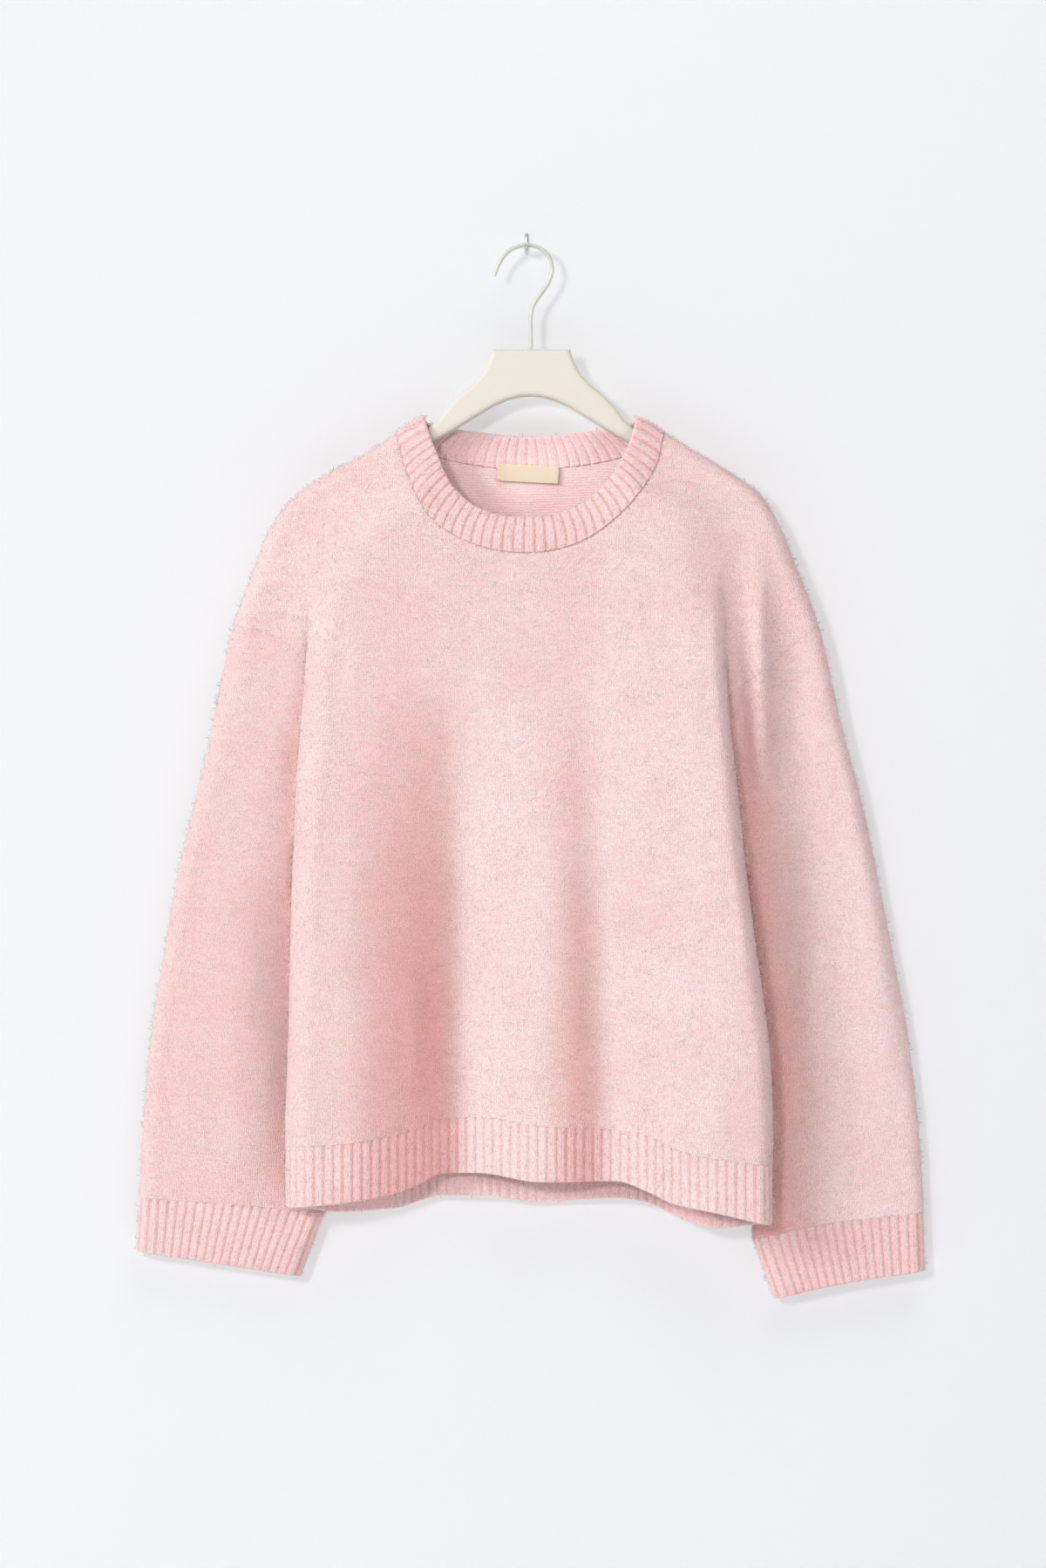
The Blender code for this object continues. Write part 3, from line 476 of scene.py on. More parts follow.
def panel_depth(x, z, face):
    """Front (face -1) or back (face 1) of the body, arms included down to the armhole seam."""
    depth = np.zeros_like(x)
    for side in SIDES:
        mine = (x * side) >= 0
        reach = np.abs(x)
        edge = EDGE_AT[side](z)
        inside = edge - reach
        body = body_depth(x, z, face, side)
        turned = body + (side_depth(side, z, face) - body) * (1 - quarter(inside, EDGE_ROUND[face, side]))
        folded = np.where(inside >= 0, turned, arm_depth(side, np.maximum(reach, edge), z, face))
        arm_middle = face * (ARM + creases(SLEEVE_CREASES[side], x, z))
        blend = ease((inside + FOLD_BLEND) / (2 * FOLD_BLEND))
        middle = arm_middle * (1 - blend) + body * blend
        smooth = middle * quarter(outer_distance(side, reach, z), SHOULDER_ROUND)
        grown = ease(below(z, FOLD_TOP_Z, FOLD_TOP_Z - CREASE_Z[side]))
        depth = np.where(mine, smooth * (1 - grown) + folded * grown, depth)
    return depth


def upright(side, reach, top, low, shares):
    """Points down a line whose distance from the centre is a function of height."""
    z = np.linspace(top, low, 90)
    z = divide(np.stack((reach(z), z), axis=1), shares)[:, 1]
    return np.stack((side * reach(z), z), axis=1)


def armhole_points(side):
    """The armhole seam from the shoulder's end in to the fold."""
    name = "right" if side < 0 else "left"
    rows = [(side * getattr(row, name), getattr(row, name + "_z")) for row in ARMHOLE]
    start = (side * float(OUTER_AT[side](SHOULDER_Z)), SHOULDER_Z)
    fold = (side * float(EDGE_AT[side](CREASE_Z[side])), CREASE_Z[side])
    line = spline([start] + rows + [fold])
    return divide(line, spacing(length(line), ARM_COLUMNS, start=True, end=True))


def fold_points(side):
    shares = spacing(CREASE_Z[side] - UNDERARM_Z[side], FOLD_ROWS, start=True)
    return upright(side, EDGE_AT[side], CREASE_Z[side], UNDERARM_Z[side], shares)


def join(parts):
    return np.vstack([parts[0]] + [part[1:] for part in parts[1:]])


def neck_line(rows, x, z):
    """The seam or the rim of the neck, cut at the yoke's columns."""
    line = spline([[getattr(row, name) for name in (x, z)] for row in rows])
    return divide(line, spacing(length(line), BODY_COLUMNS + 2 * ARM_COLUMNS, start=True, end=True))


def hem_line(column):
    right, left = HEM[0].x, HEM[-1].x
    x = right + (left - right) * spacing(left - right, BODY_COLUMNS, start=True, end=True)
    return np.stack((x, track(HEM, "x", column)(x)), axis=1)


def patch(top, bottom, start, end, reach):
    """Rows of points between four edges; the two side edges fade inwards over their reach (0 to 1)."""
    across = np.linspace(0, 1, len(top))
    along = distances(start)
    near_start = (1 - ease(across / reach))[:, None]
    near_end = (1 - ease((1 - across) / reach))[:, None]
    grid = []
    for share, first, last in zip(along / along[-1], start, end):
        line = (1 - share) * top + share * bottom
        grid.append(line + near_start * (first - line[0]) + near_end * (last - line[-1]))
    return np.array(grid)


def lift(flat, depth):
    """Front-view points and their depths as points in space."""
    return np.stack((flat[..., 0], depth + np.zeros(flat.shape[:-1]), flat[..., 1]), axis=-1)


def panel(face):
    """The front (-1) or back (1) of the body, columns in the order of x: the yoke, then all below the folds."""
    ends = [armhole_points(side)[-1] for side in SIDES]
    shares = spacing(length(ends), BODY_COLUMNS, start=True, end=True)[:, None]
    across = ends[0] * (1 - shares) + ends[1] * shares
    low = join((armhole_points(-1), across, armhole_points(1)[::-1]))
    down = spacing(NECK_POINT_Z - SHOULDER_Z, YOKE_ROWS, start=True, end=True)
    shoulders = [upright(side, OUTER_AT[side], NECK_POINT_Z, SHOULDER_Z, down) for side in SIDES]
    neck = neck_line(NECK_FRONT if face < 0 else NECK_BACK[::-1], "x", "seam_z")
    yoke = patch(neck, low, shoulders[0], shoulders[1], reach=0.35)
    hem_z = {-1: HEM[0].seam, 1: HEM[-1].seam}
    down = spacing(SIDE_LONG, SIDE_ROWS, end=True)
    sides = [join((fold_points(side), upright(side, EDGE_AT[side], UNDERARM_Z[side], hem_z[side], down)))
             for side in SIDES]
    body = patch(across, hem_line("seam" if face < 0 else "back_seam"), sides[0], sides[1], reach=0.6)
    return [lift(flat, panel_depth(flat[..., 0], flat[..., 1], face)) for flat in (yoke, body)]


def lay_flat(grids, face):
    """Place of each point in the cloth before it hung, in metres: across from the centre, and down."""
    x = np.arange(-330.0, 331.0)
    z = np.arange(-130.0, -801.0, -2.0)
    depth = panel_depth(*np.meshgrid(x, z), face)
    across = np.hypot(np.diff(depth, axis=1), 1.0)
    across = np.hstack((np.zeros((len(z), 1)), np.cumsum(np.clip(across, 1, 3), axis=1)))
    across -= across[:, len(x) // 2][:, None]
    down = np.clip(np.hypot(np.diff(depth, axis=0), 2.0), 2, 5)
    down = np.vstack((np.zeros(len(x)), np.cumsum(down, axis=0)))
    laid = []
    for grid in grids:
        column = np.clip(grid[..., 0] - x[0], 0, len(x) - 1.001)
        row = np.clip((z[0] - grid[..., 2]) / 2, 0, len(z) - 1.001)
        left, top = column.astype(int), row.astype(int)
        right, low = column - left, row - top
        both = []
        for measured in (across, down):
            upper = measured[top, left] * (1 - right) + measured[top, left + 1] * right
            lower = measured[top + 1, left] * (1 - right) + measured[top + 1, left + 1] * right
            both.append(upper * (1 - low) + lower * low)
        laid.append(np.stack(both, axis=-1) * 0.001)
    return laid


# Painted light and shade: a point attribute that deepens the pink on slopes facing away from the window and pales it
# on slopes facing it
EVEN = 0.25                 # level of painted shading where the cloth is flat: the cloth's plain colour
PALEST = -0.33              # on a slope that faces the window it falls to nearly this, as a share of the rest: painted light
FALL_LEAST = 0.06           # the slopes where the painted shade starts to show more and where it is full
FALL_FULL = 0.50
FALL_SPAN = 9               # the slope is taken over this much to each side


def painted_fold_shading(grid):
    """Painted shade and light by slope: most shade where a fold falls to the wearer's left, away from the window,
    and paler where it rises towards it.
    """
    x, z = grid[..., 0], grid[..., 2]
    fall = [(swell(x + shift - FALL_SPAN, z) - swell(x + shift + FALL_SPAN, z)) / (2 * FALL_SPAN)
            for shift in (-14, -7, 0, 7, 14)]
    steep = (np.mean(fall, axis=0) - FALL_LEAST) / (FALL_FULL - FALL_LEAST)
    return EVEN + (1 - EVEN) * np.clip(steep, PALEST, 1)


def add_object(name, data):
    item = bpy.data.objects.new(name, data)
    scene.collection.objects.link(item)
    return item


def place_key(point):
    return tuple(np.round(point, 2) + 0.0)


class Cloth:
    """Grids of middle points as a thin closed wall. Points that fall together are one; relief lifts the outer
    face and hollows the inner one, and share is how much of the thickness is left at a rounded edge."""

    def __init__(self, grids, laid, thick, relief=None, hollow=None, share=None, painted_shading=None):
        self.thick = thick
        numbers = {}
        order = []
        quads = []
        for part, grid in enumerate(grids):
            index = np.zeros(grid.shape[:2], int)
            for place in np.ndindex(index.shape):
                key = place_key(grid[place])
                if key not in numbers:
                    numbers[key] = len(order)
                    order.append((part, *place))
                index[place] = numbers[key]
            quads.append(np.stack((index[:-1, :-1], index[1:, :-1], index[1:, 1:], index[:-1, 1:]), -1))
        self.points = np.array([grids[part][row, column] for part, row, column in order])
        self.keys = list(numbers)
        self.quads = np.concatenate([block.reshape(-1, 4) for block in quads])
        self.laid = np.concatenate([self.corners(block) for block in laid])
        self.relief, self.hollow, self.share, self.painted_shading = (
            np.full(len(order), rest) if values is None else
            np.array([values[part][row, column] for part, row, column in order])
            for values, rest in ((relief, 0.0), (hollow, 0.0), (share, 1.0), (painted_shading, EVEN)))
        corners = self.points[self.quads]
        facing = np.cross(corners[:, 2] - corners[:, 0], corners[:, 3] - corners[:, 1])
        facing /= np.maximum(np.linalg.norm(facing, axis=1), 1e-9)[:, None]
        self.normals = np.zeros_like(self.points)
        for corner in range(4):
            np.add.at(self.normals, self.quads[:, corner], facing)

    @staticmethod
    def corners(block):
        """A value of each grid point, for the four corners of each quad."""
        parts = (block[:-1, :-1], block[1:, :-1], block[1:, 1:], block[:-1, 1:])
        return np.stack(parts, axis=2).reshape(-1, 4, block.shape[-1])

    def make(self, name, outside, inside):
        """The wall as an object: outer faces first, then the inner ones and the edge between them."""
        half = self.normals * (self.thick / 2 * self.share)[:, None]
        outer = self.points + half + self.normals * self.relief[:, None]
        inner = self.points - half - self.normals * self.hollow[:, None]
        count = len(self.points)
        used = set()
        for quad in self.quads.tolist():
            used.update(zip(quad, quad[1:] + quad[:1]))
        border = sorted(edge for edge in used if edge[::-1] not in used)
        rims = [(end, start, start + count, end + count) for start, end in border]
        faces = self.quads.tolist() + (self.quads[:, ::-1] + count).tolist() + rims
        mesh = bpy.data.meshes.new(name)
        mesh.from_pydata((np.concatenate((outer, inner)) * 0.001).tolist(), [], faces)
        smooth = np.ones(len(faces), bool)
        smooth[2 * len(self.quads):] = False
        mesh.polygons.foreach_set("use_smooth", smooth)
        rim_laid = np.zeros((len(rims), 4, 2))
        place = np.concatenate((self.laid, self.laid[:, ::-1], rim_laid)).reshape(-1)
        mesh.uv_layers.new(name="cloth").data.foreach_set("uv", place)
        side = np.zeros(len(faces), int)
        side[len(self.quads):2 * len(self.quads)] = 1
        for finish in (outside, inside):
            mesh.materials.append(finish)
        mesh.polygons.foreach_set("material_index", side)
        # The painted light and shade, kept as a point attribute; the inner faces have the plain level
        painted_shading = np.concatenate((self.painted_shading, np.full(count, EVEN)))
        mesh.attributes.new("painted_shading", "FLOAT", "POINT").data.foreach_set("value", painted_shading)
        return add_object(name, mesh)


def share_normals(cloths):
    """Give all the cloths that meet at a point one direction there."""
    sums = {}
    for cloth in cloths:
        for key, normal in zip(cloth.keys, cloth.normals):
            sums[key] = sums.get(key, 0) + normal
    for side in SIDES:
        x = side * float(EDGE_AT[side](UNDERARM_Z[side]))
        sums[place_key((x, UNDERARM_Y, UNDERARM_Z[side]))] = np.array((0, 0, -1.0))
    for cloth in cloths:
        own = cloth.normals / np.maximum(np.linalg.norm(cloth.normals, axis=1)[:, None], 1e-9)
        shared = np.array([sums[key] for key in cloth.keys])
        shared /= np.maximum(np.linalg.norm(shared, axis=1)[:, None], 1e-9)
        along = (shared * own).sum(axis=1)
        cloth.normals = shared * np.where(along > 0.4, 1 / np.clip(along, 0.75, 1), 0.6)[:, None]


def near_line(points, line, width):
    """1 on a line through space, falling away over a width."""
    closest = np.full(points.shape[:-1], 1e9)
    for point in line:
        closest = np.minimum(closest, np.sum((points - point) ** 2, axis=-1))
    return np.exp(-closest / width ** 2)


def sockets(tree, inputs, outputs):
    """The named sockets of a node group: what it is given, and where its results go."""
    for way, named in (("INPUT", inputs), ("OUTPUT", outputs)):
        for name, kind in named.items():
            tree.interface.new_socket(name=name, in_out=way, socket_type="NodeSocket" + kind)
    return tree.nodes.new("NodeGroupInput").outputs, tree.nodes.new("NodeGroupOutput").inputs


WALE = 0.0027                   # a stitch's width and height, in metres
COURSE = 0.0021
PINK_DARK = (0.855, 0.57, 0.56)
PINK_LIGHT = (0.865, 0.69, 0.675)
PAINTED_LIGHT = (1.0, 1.05, 1.05)   # painted light: the paler colour where the painted shading is least
PAINTED_SHADE = (0.95, 0.68, 0.67)   # painted shade: the deeper pink where the painted shading is full
GRAIN_AND_STITCH_SHADE = (0.89, 0.79, 0.785)     # between the fibres, and painted shade between the stitches' loops
YARN_STRAYS = 0.7               # how far the yarn strays from its place, in stitches


def knit_group():
    """The face of a knitted cloth: wales and courses of yarn, brushed over, in a mottled pink, with painted light
    and shade over it.
    """
    group = bpy.data.node_groups.new("knitted yarn", "ShaderNodeTree")
    given, ends = sockets(group, {"Place": "Vector", "Wale": "Float", "Course": "Float", "Purl": "Float",
                                  "Dark": "Color", "Light": "Color", "Painted shading": "Float"},
                          {"Color": "Color", "Height": "Float"})

    def calc(operation, *values):
        return maths(group, operation, *values)

    def cloud(scale, detail=2.0, stretch=(1, 1, 1)):
        moved = put(group, "ShaderNodeMapping", given["Place"], None, None, stretch).outputs[0]
        return put(group, "ShaderNodeTexNoise", moved, None, scale, detail, noise_dimensions="2D").outputs[0]

    # Where in its stitch each point is
    flat = put(group, "ShaderNodeSeparateXYZ", given["Place"]).outputs
    shift = calc("MULTIPLY", calc("SUBTRACT", cloud(240.0), 0.5), YARN_STRAYS)
    wale = calc("ADD", calc("DIVIDE", flat[0], given["Wale"]), shift)
    course = calc("ADD", calc("DIVIDE", flat[1], given["Course"]), shift)
    # The knit side: two slanting legs a stitch
    off = calc("ABSOLUTE", calc("SUBTRACT", calc("FRACT", wale), 0.5))
    leg = calc("SUBTRACT", calc("MULTIPLY", off, 4.0), 1.0)
    leg = calc("SUBTRACT", 1.0, calc("MULTIPLY", leg, leg))
    turn = calc("COSINE", calc("MULTIPLY", calc("MULTIPLY_ADD", off, 1.2, course), 2 * math.pi))
    loops = calc("MULTIPLY", leg, calc("MULTIPLY_ADD", turn, 0.3, 0.7))
    # The purl side: bowed rows
    wave = calc("COSINE", calc("MULTIPLY", wale, 2 * math.pi))
    bow = calc("COSINE", calc("MULTIPLY", calc("MULTIPLY_ADD", wave, 0.16, course), 2 * math.pi))
    purled = calc("MULTIPLY_ADD", bow, 0.25, 0.8)
    stitch = put(group, "ShaderNodeMix", given["Purl"], None, loops, purled).outputs[0]
    # The yarn's colour in streaks and patches, then the painted light and shade, then the fibres over it
    nap = cloud(1100.0, 3.0)
    streak = cloud(1.0, 3.0, (70, 330, 1))
    patchy = cloud(16.0, 3.0)
    fleck = cloud(1.0, 2.0, (900, 420, 1))
    tone = calc("MULTIPLY_ADD", patchy, 1.1, calc("MULTIPLY_ADD", streak, 0.9, -0.5))
    fine = calc("MULTIPLY_ADD", nap, 1.2, calc("MULTIPLY_ADD", fleck, 3.0, -1.75))
    # Painted shade: the stitch pattern darkens the colour between the loops, towards the grain colour
    fine = calc("MULTIPLY_ADD", stitch, 0.8, fine)
    mixed = mix_colour(group, tone, given["Dark"], given["Light"])
    # Painted light and shade: paler on slopes facing the window, deeper pink on slopes in shade
    deep = mix_colour(group, given["Painted shading"], PAINTED_LIGHT, PAINTED_SHADE)
    with_painted_shading = mix_colour(group, 1.0, mixed, deep, "MULTIPLY")
    grain = mix_colour(group, fine, GRAIN_AND_STITCH_SHADE, (1, 1, 1))
    group.links.new(mix_colour(group, 1.0, with_painted_shading, grain, "MULTIPLY"), ends["Color"])
    group.links.new(calc("MULTIPLY_ADD", nap, 0.55, calc("MULTIPLY", stitch, 0.6)), ends["Height"])
    return group


KNITTED = knit_group()


def yarn(name, dark, light, wale, course, purl=0.0, depth=0.0011):
    """Brushed yarn: the knitted face with a soft sheen from the fibres that stand off it."""
    made, tree, shader = material(name, 0.92, Specular_IOR_Level=0.15, Sheen_Weight=0.35, Sheen_Roughness=0.45)
    shader.inputs["Sheen Tint"].default_value = (1.0, 0.93, 0.92, 1)
    place = put(tree, "ShaderNodeUVMap", uv_map="cloth").outputs[0]
    painted_shading = put(tree, "ShaderNodeAttribute", attribute_name="painted_shading").outputs["Fac"]
    cloth = put(tree, "ShaderNodeGroup", node_tree=KNITTED,
                into={"Place": place, "Painted shading": painted_shading, "Wale": wale, "Course": course, "Purl": purl,
                      "Dark": (*dark, 1), "Light": (*light, 1)})
    tree.links.new(cloth.outputs["Color"], shader.inputs["Base Color"])
    bump = put(tree, "ShaderNodeBump", 0.8, depth, None, cloth.outputs["Height"])
    tree.links.new(bump.outputs[0], shader.inputs["Normal"])
    return made


knit_face = yarn("brushed knit", PINK_DARK, PINK_LIGHT, WALE, COURSE)
# Painted light: the purl side is paler than the knit face, standing in for light the inside gets little of
purl_side = yarn("purl side", (1.0, 0.675, 0.675), (1.0, 0.81, 0.81), WALE, COURSE, purl=1.0)

panels = {face: panel(face) for face in SIDES}
armhole_seams = [lift(armhole_points(side), panel_depth(*armhole_points(side).T, face))
                 for side in SIDES for face in SIDES]
neck_seams = [panels[face][0][0] for face in SIDES]


def seam_dips(grids, lines):
    """The outer face drawn in along the seams, in millimetres."""
    line = np.concatenate(lines)[::3]
    return [-SEAM_DEEP * near_line(grid, line, SEAM_WIDE) for grid in grids]


cloths = {}
for face, name in ((-1, "front_panel"), (1, "back_panel")):
    grids = panels[face] if face < 0 else [grid[:, ::-1] for grid in panels[face]]
    dips = seam_dips(grids, armhole_seams + neck_seams)
    # Painted light and shade by the slope of the folds, on the front only
    painted_shading = [painted_fold_shading(grid) for grid in grids] if face < 0 else None
    cloths[name] = Cloth(grids, lay_flat(grids, face), KNIT_THICK, relief=dips, painted_shading=painted_shading)


# ---- Sleeves: wide tubes of the same knit, narrowing a little to the cuff ----
# Each is linked to the body round the dropped armhole and hangs behind the body's side.

CUFF_ROW = "share seam edge"
CUFFS = {
    -1: table(CUFF_ROW, (0, -764, -807), (0.5, -769, -817), (1, -776, -827)),
    1: table(CUFF_ROW, (0, -776, -823), (0.5, -783, -832), (1, -797, -845))}


def sleeve_depth(side, x, z, face):
    low = arm_depth(side, np.abs(x), z, face)
    return np.where(z > CREASE_Z[side], panel_depth(x, z, face), low)


def cuff_line(side, column):
    """The rib's seam or lower edge, from the sleeve's outer to its inner line."""
    outer = float(OUTER_AT[side](getattr(CUFFS[side][0], column)))
    inner = CUFF_INNER[side][0 if column == "seam" else 1]
    share = spacing(outer - inner, ARM_COLUMNS, start=True, end=True)
    return np.stack((side * (outer + (inner - outer) * share), track(CUFFS[side], "share", column)(share)), axis=1)


def round_tube(front, back, side):
    """Two halves of a tube side by side as seen from outside; each runs from the outer to the inner line."""
    if side < 0:
        return np.concatenate((back[:, ::-1], front[:, 1:]), axis=1)
    return np.concatenate((front[:, ::-1], back[:, 1:]), axis=1)


def sleeve(side):
    """A tube, open above the underarm where the fold line is sewn to the body; no column crosses that line."""
    rows = FOLD_ROWS + SLEEVE_ROWS
    cuff_seam = cuff_line(side, "seam")
    shares = spacing(SLEEVE_LONG, rows, start=True, end=True)
    outer = upright(side, OUTER_AT[side], SHOULDER_Z, cuff_seam[0, 1], shares)
    shares = spacing(INNER_LONG, SLEEVE_ROWS, end=True)
    inner = upright(side, lambda z: sleeve_inner(side, z), UNDERARM_Z[side], cuff_seam[-1, 1], shares)
    flat = patch(armhole_points(side), cuff_seam, outer, join((fold_points(side), inner)), reach=1)
    for column, step in enumerate(ROUND_STEPS[1:], 2):
        least = sleeve_inner(side, flat[1:, -column, 1]) + 0.7 * step
        flat[1:, -column, 0] = side * np.maximum(np.abs(flat[1:, -column, 0]), least)
    halves = [lift(flat, sleeve_depth(side, flat[..., 0], flat[..., 1], face)) for face in (-1, 1)]
    return round_tube(halves[0], halves[1], side)


def unroll(grid):
    """Place in the cloth of each point of a grid, in metres: across along its rows, down along its columns."""
    across = np.linalg.norm(np.diff(grid, axis=1), axis=-1)
    across = np.hstack((np.zeros((len(grid), 1)), np.cumsum(across, axis=1)))
    across -= across[:, across.shape[1] // 2][:, None]
    down = np.linalg.norm(np.diff(grid, axis=0), axis=-1)
    down = np.vstack((-grid[:1, :, 2], down))
    return np.stack((across, np.cumsum(down, axis=0)), axis=-1) * 0.001


BEHIND = {-1: (26, 0.3, EVEN), 1: (58, 0.8, 0.0)}   # how far and how strongly the painted shade shows by the body, which shades the sleeve, and
                                                    # how much painted shading the rest of the sleeve has, painted
                                                    # light where it is below EVEN
CLEAR = 42                  # the sleeve keeps the body's plain level of painted shading this close to the armhole seam
BEHIND_FROM = 60            # the painted shade by the body starts this far above the fold and is full over twice as much


def painted_arm_shading(side, grid):
    """Painted shade where the sleeve goes behind the body, in the body's shadow."""
    wide, most, rest = BEHIND[side]
    reach, depth, z = np.abs(grid[..., 0]), grid[..., 1], grid[..., 2]
    near = 1 - ease((reach - EDGE_AT[side](z)) / wide)
    clear = 1 - near_line(grid, np.concatenate(armhole_seams)[::3], CLEAR)
    low = ease(below(z, CREASE_Z[side] + BEHIND_FROM, 2 * BEHIND_FROM)) * (depth < arm_centre(z))
    return EVEN + (rest - EVEN) * clear + most * near * clear * low


tubes = {side: sleeve(side) for side in SIDES}
for side, name in ((-1, "sleeve_right"), (1, "sleeve_left")):
    dips = seam_dips([tubes[side]], armhole_seams)
    # Painted shade where the sleeve lies behind the body, painted light on the rest of the left sleeve
    cloths[name] = Cloth([tubes[side]], [unroll(tubes[side])], KNIT_THICK, relief=dips,
                         painted_shading=[painted_arm_shading(side, tubes[side])])


# ---- Hem ribs: two bands of rib knitted on below the panels ----
# The ribs stand up between narrow grooves; the lower edge is the knitting's own rounded end.

RIB_ROWS = 16
RIB_PITCH = 7.6
RIB_GROOVE = 0.95           # depth and half width of the grooves
GROOVE_WIDE = 1.3
RIB_CROWN = 0.1             # and of the crease between the two wales of a rib
CROWN_WIDE = 0.7
SEAM_FADE = 0.35            # how much of both is left at the seam
GROOVE_PAINTED_SHADE = 0.6            # painted shade in the grooves between the ribs
RIB_YARN = 0.005            # each rib shows two wales of 2.5 mm
LEAST_THICK = 0.08          # share of the thickness that is left at a rounded edge
SEAM_STEPS = (0, 0.7, 1.6, 3.0)
EDGE_STEPS = (2.2, 1.2, 0.6, 0.25, 0.08, 0)
RIB_DARK = (0.77, 0.55, 0.545)
RIB_LIGHT = (0.80, 0.63, 0.625)
RIB_FINISH = {"wale": RIB_YARN / 2, "course": COURSE, "depth": 0.0006}
rib_face = yarn("ribbed knit", RIB_DARK, RIB_LIGHT, **RIB_FINISH)
# Painted light: the rib's inner side is paler and pinker than its face, standing in for light it gets little of in
# shade
rib_back = yarn("rib's inner side", (0.86, 0.58, 0.58), (0.90, 0.68, 0.68), **RIB_FINISH)


def refine(grid, times):
    """More columns between those of a grid, on the straight lines between its points."""
    steps = np.arange((grid.shape[1] - 1) * times + 1) / times
    left = np.minimum(steps.astype(int), grid.shape[1] - 2)
    share = (steps - left)[None, :, None]
    return grid[:, left] * (1 - share) + grid[:, left + 1] * share


def strip(top, bottom, shares, bulge=0.0):
    """Rows of points from one line to another, bowed out from the middle of the ring they make."""
    share = np.asarray(shares)[:, None, None]
    grid = top[None] * (1 - share) + bottom[None] * share
    away = grid - grid.mean(axis=1, keepdims=True)
    away[..., 2] = 0
    reach = np.linalg.norm(away, axis=-1, keepdims=True)
    return grid + bulge * 4 * share * (1 - share) * away / np.maximum(reach, 1)


def rib_shares(deep):
    """Rows of a rib from its seam to its free edge, closer at both; deep is its height in millimetres."""
    near = [step / deep for step in SEAM_STEPS]
    end = [1 - step / deep for step in EDGE_STEPS]
    return np.concatenate((near, np.linspace(near[-1], end[0], RIB_ROWS - len(end))[1:-1], end))


def rib_cloth(grid, count, thick, left, painted_shading=None):
    """A band with that many ribs; left is how far each of its rows is from the free, rounded edge."""
    left = np.asarray(left)
    seam = int(np.argmax(left))
    along = distances(grid[seam])
    pitch = along[-1] / count
    phase = along / pitch
    off = np.abs(phase - np.round(phase)) * pitch
    groove = np.exp(-(off / GROOVE_WIDE) ** 2)
    crown = np.exp(-((pitch / 2 - off) / CROWN_WIDE) ** 2)
    inner = np.exp(-((pitch / 2 - off) / GROOVE_WIDE) ** 2)
    share = np.clip(quarter(left, thick / 2), LEAST_THICK, 1)
    fade = share.copy()
    fade[seam] = SEAM_FADE
    down = unroll(grid)[..., 1]
    laid = np.stack((phase[None] * RIB_YARN + 0 * down, down), axis=-1)
    fade = fade[:, None]
    # The grooves between the ribs get painted shade through the painted shading attribute
    return Cloth([grid], [laid], thick, relief=[-fade * (RIB_GROOVE * groove + RIB_CROWN * crown)],
                 hollow=[-fade * (RIB_GROOVE * inner)], share=[share[:, None] + 0 * down],
                 painted_shading=[(EVEN if painted_shading is None else painted_shading) + fade * (GROOVE_PAINTED_SHADE * groove)])


def hem(face, body):
    """The rib below a panel: it hangs on from the panel's last row."""
    low = body[-1].copy()
    low[:, 2] = track(HEM, "x", "edge" if face < 0 else "back_edge")(low[:, 0])
    deep = float((body[-1, :, 2] - low[:, 2]).mean())
    return strip(body[-1], low, rib_shares(deep)), deep


for face, name in ((-1, "front_hem_rib"), (1, "back_hem_rib")):
    grid, deep = hem(face, panels[face][1])
    grid = refine(grid if face < 0 else grid[:, ::-1], 3)
    left = (1 - rib_shares(deep)) * deep
    # The front hem takes the same painted light and shade by slope as the front panel
    painted_shading = painted_fold_shading(grid) if face < 0 else None
    cloths[name] = rib_cloth(grid, round(length(grid[0]) / RIB_PITCH), KNIT_THICK, left, painted_shading)


# ---- Cuffs: a tube of rib at the end of each sleeve ----
# They hang loose and a little flared, as the sleeve does.

CUFF_ROUND = 10             # radius of its outer and inner turn

for side, name in ((-1, "cuff_right"), (1, "cuff_left")):
    line = cuff_line(side, "edge")
    reach = np.abs(line[:, 0])
    turn = quarter(np.minimum(reach.max() - reach, reach - reach.min()), CUFF_ROUND)
    halves = [lift(line, ARM_BACK + face * ARM_AT_CUFF * turn)[None] for face in (-1, 1)]
    low = round_tube(halves[0], halves[1], side)[0]
    deep = float((tubes[side][-1, :, 2] - low[:, 2]).mean())
    grid = refine(strip(tubes[side][-1], low, rib_shares(deep)), 4)
    left = (1 - rib_shares(deep)) * deep
    cloths[name] = rib_cloth(grid, round(length(grid[0]) / RIB_PITCH), KNIT_THICK, left)


# ---- Neck rib: one band, folded double and linked to the neck edge ----
# It stands proud of the panels, and its ribs fan out round the front.

COLLAR_THICK = 4.5
NECK_RIBS = 66
COLLAR_BULGE = 2            # how far it bows outwards


def collar(front, back):
    """From the rim down to the seam with both yokes; its first and last columns meet."""
    halves = []
    for rows in (NECK_FRONT, NECK_BACK):
        line = neck_line(rows, "rim_x", "rim_z")
        along = neck_line(rows, "rim_x", "rim_y")[:, 1]
        halves.append(lift(line, along))
    return join(halves), join((front[0], back[0, ::-1]))


rim, seam = collar(panels[-1][0], panels[1][0])
deep = float(np.linalg.norm(rim - seam, axis=1).mean())
from_rim = 1 - rib_shares(deep)[::-1]
neck_grid = refine(strip(rim, seam, from_rim, COLLAR_BULGE), 2)
cloths["neck_rib"] = rib_cloth(neck_grid, NECK_RIBS, COLLAR_THICK, from_rim * deep)

share_normals(cloths.values())
CLOTH_FINISH = {name: (rib_face, rib_back) if "rib" in name or "cuff" in name else (knit_face, purl_side)
                for name in cloths}
made = {}
for name, cloth in cloths.items():
    made[name] = cloth.make("soft_" + name, *CLOTH_FINISH[name])
    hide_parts(name)
    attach(made[name], "root")


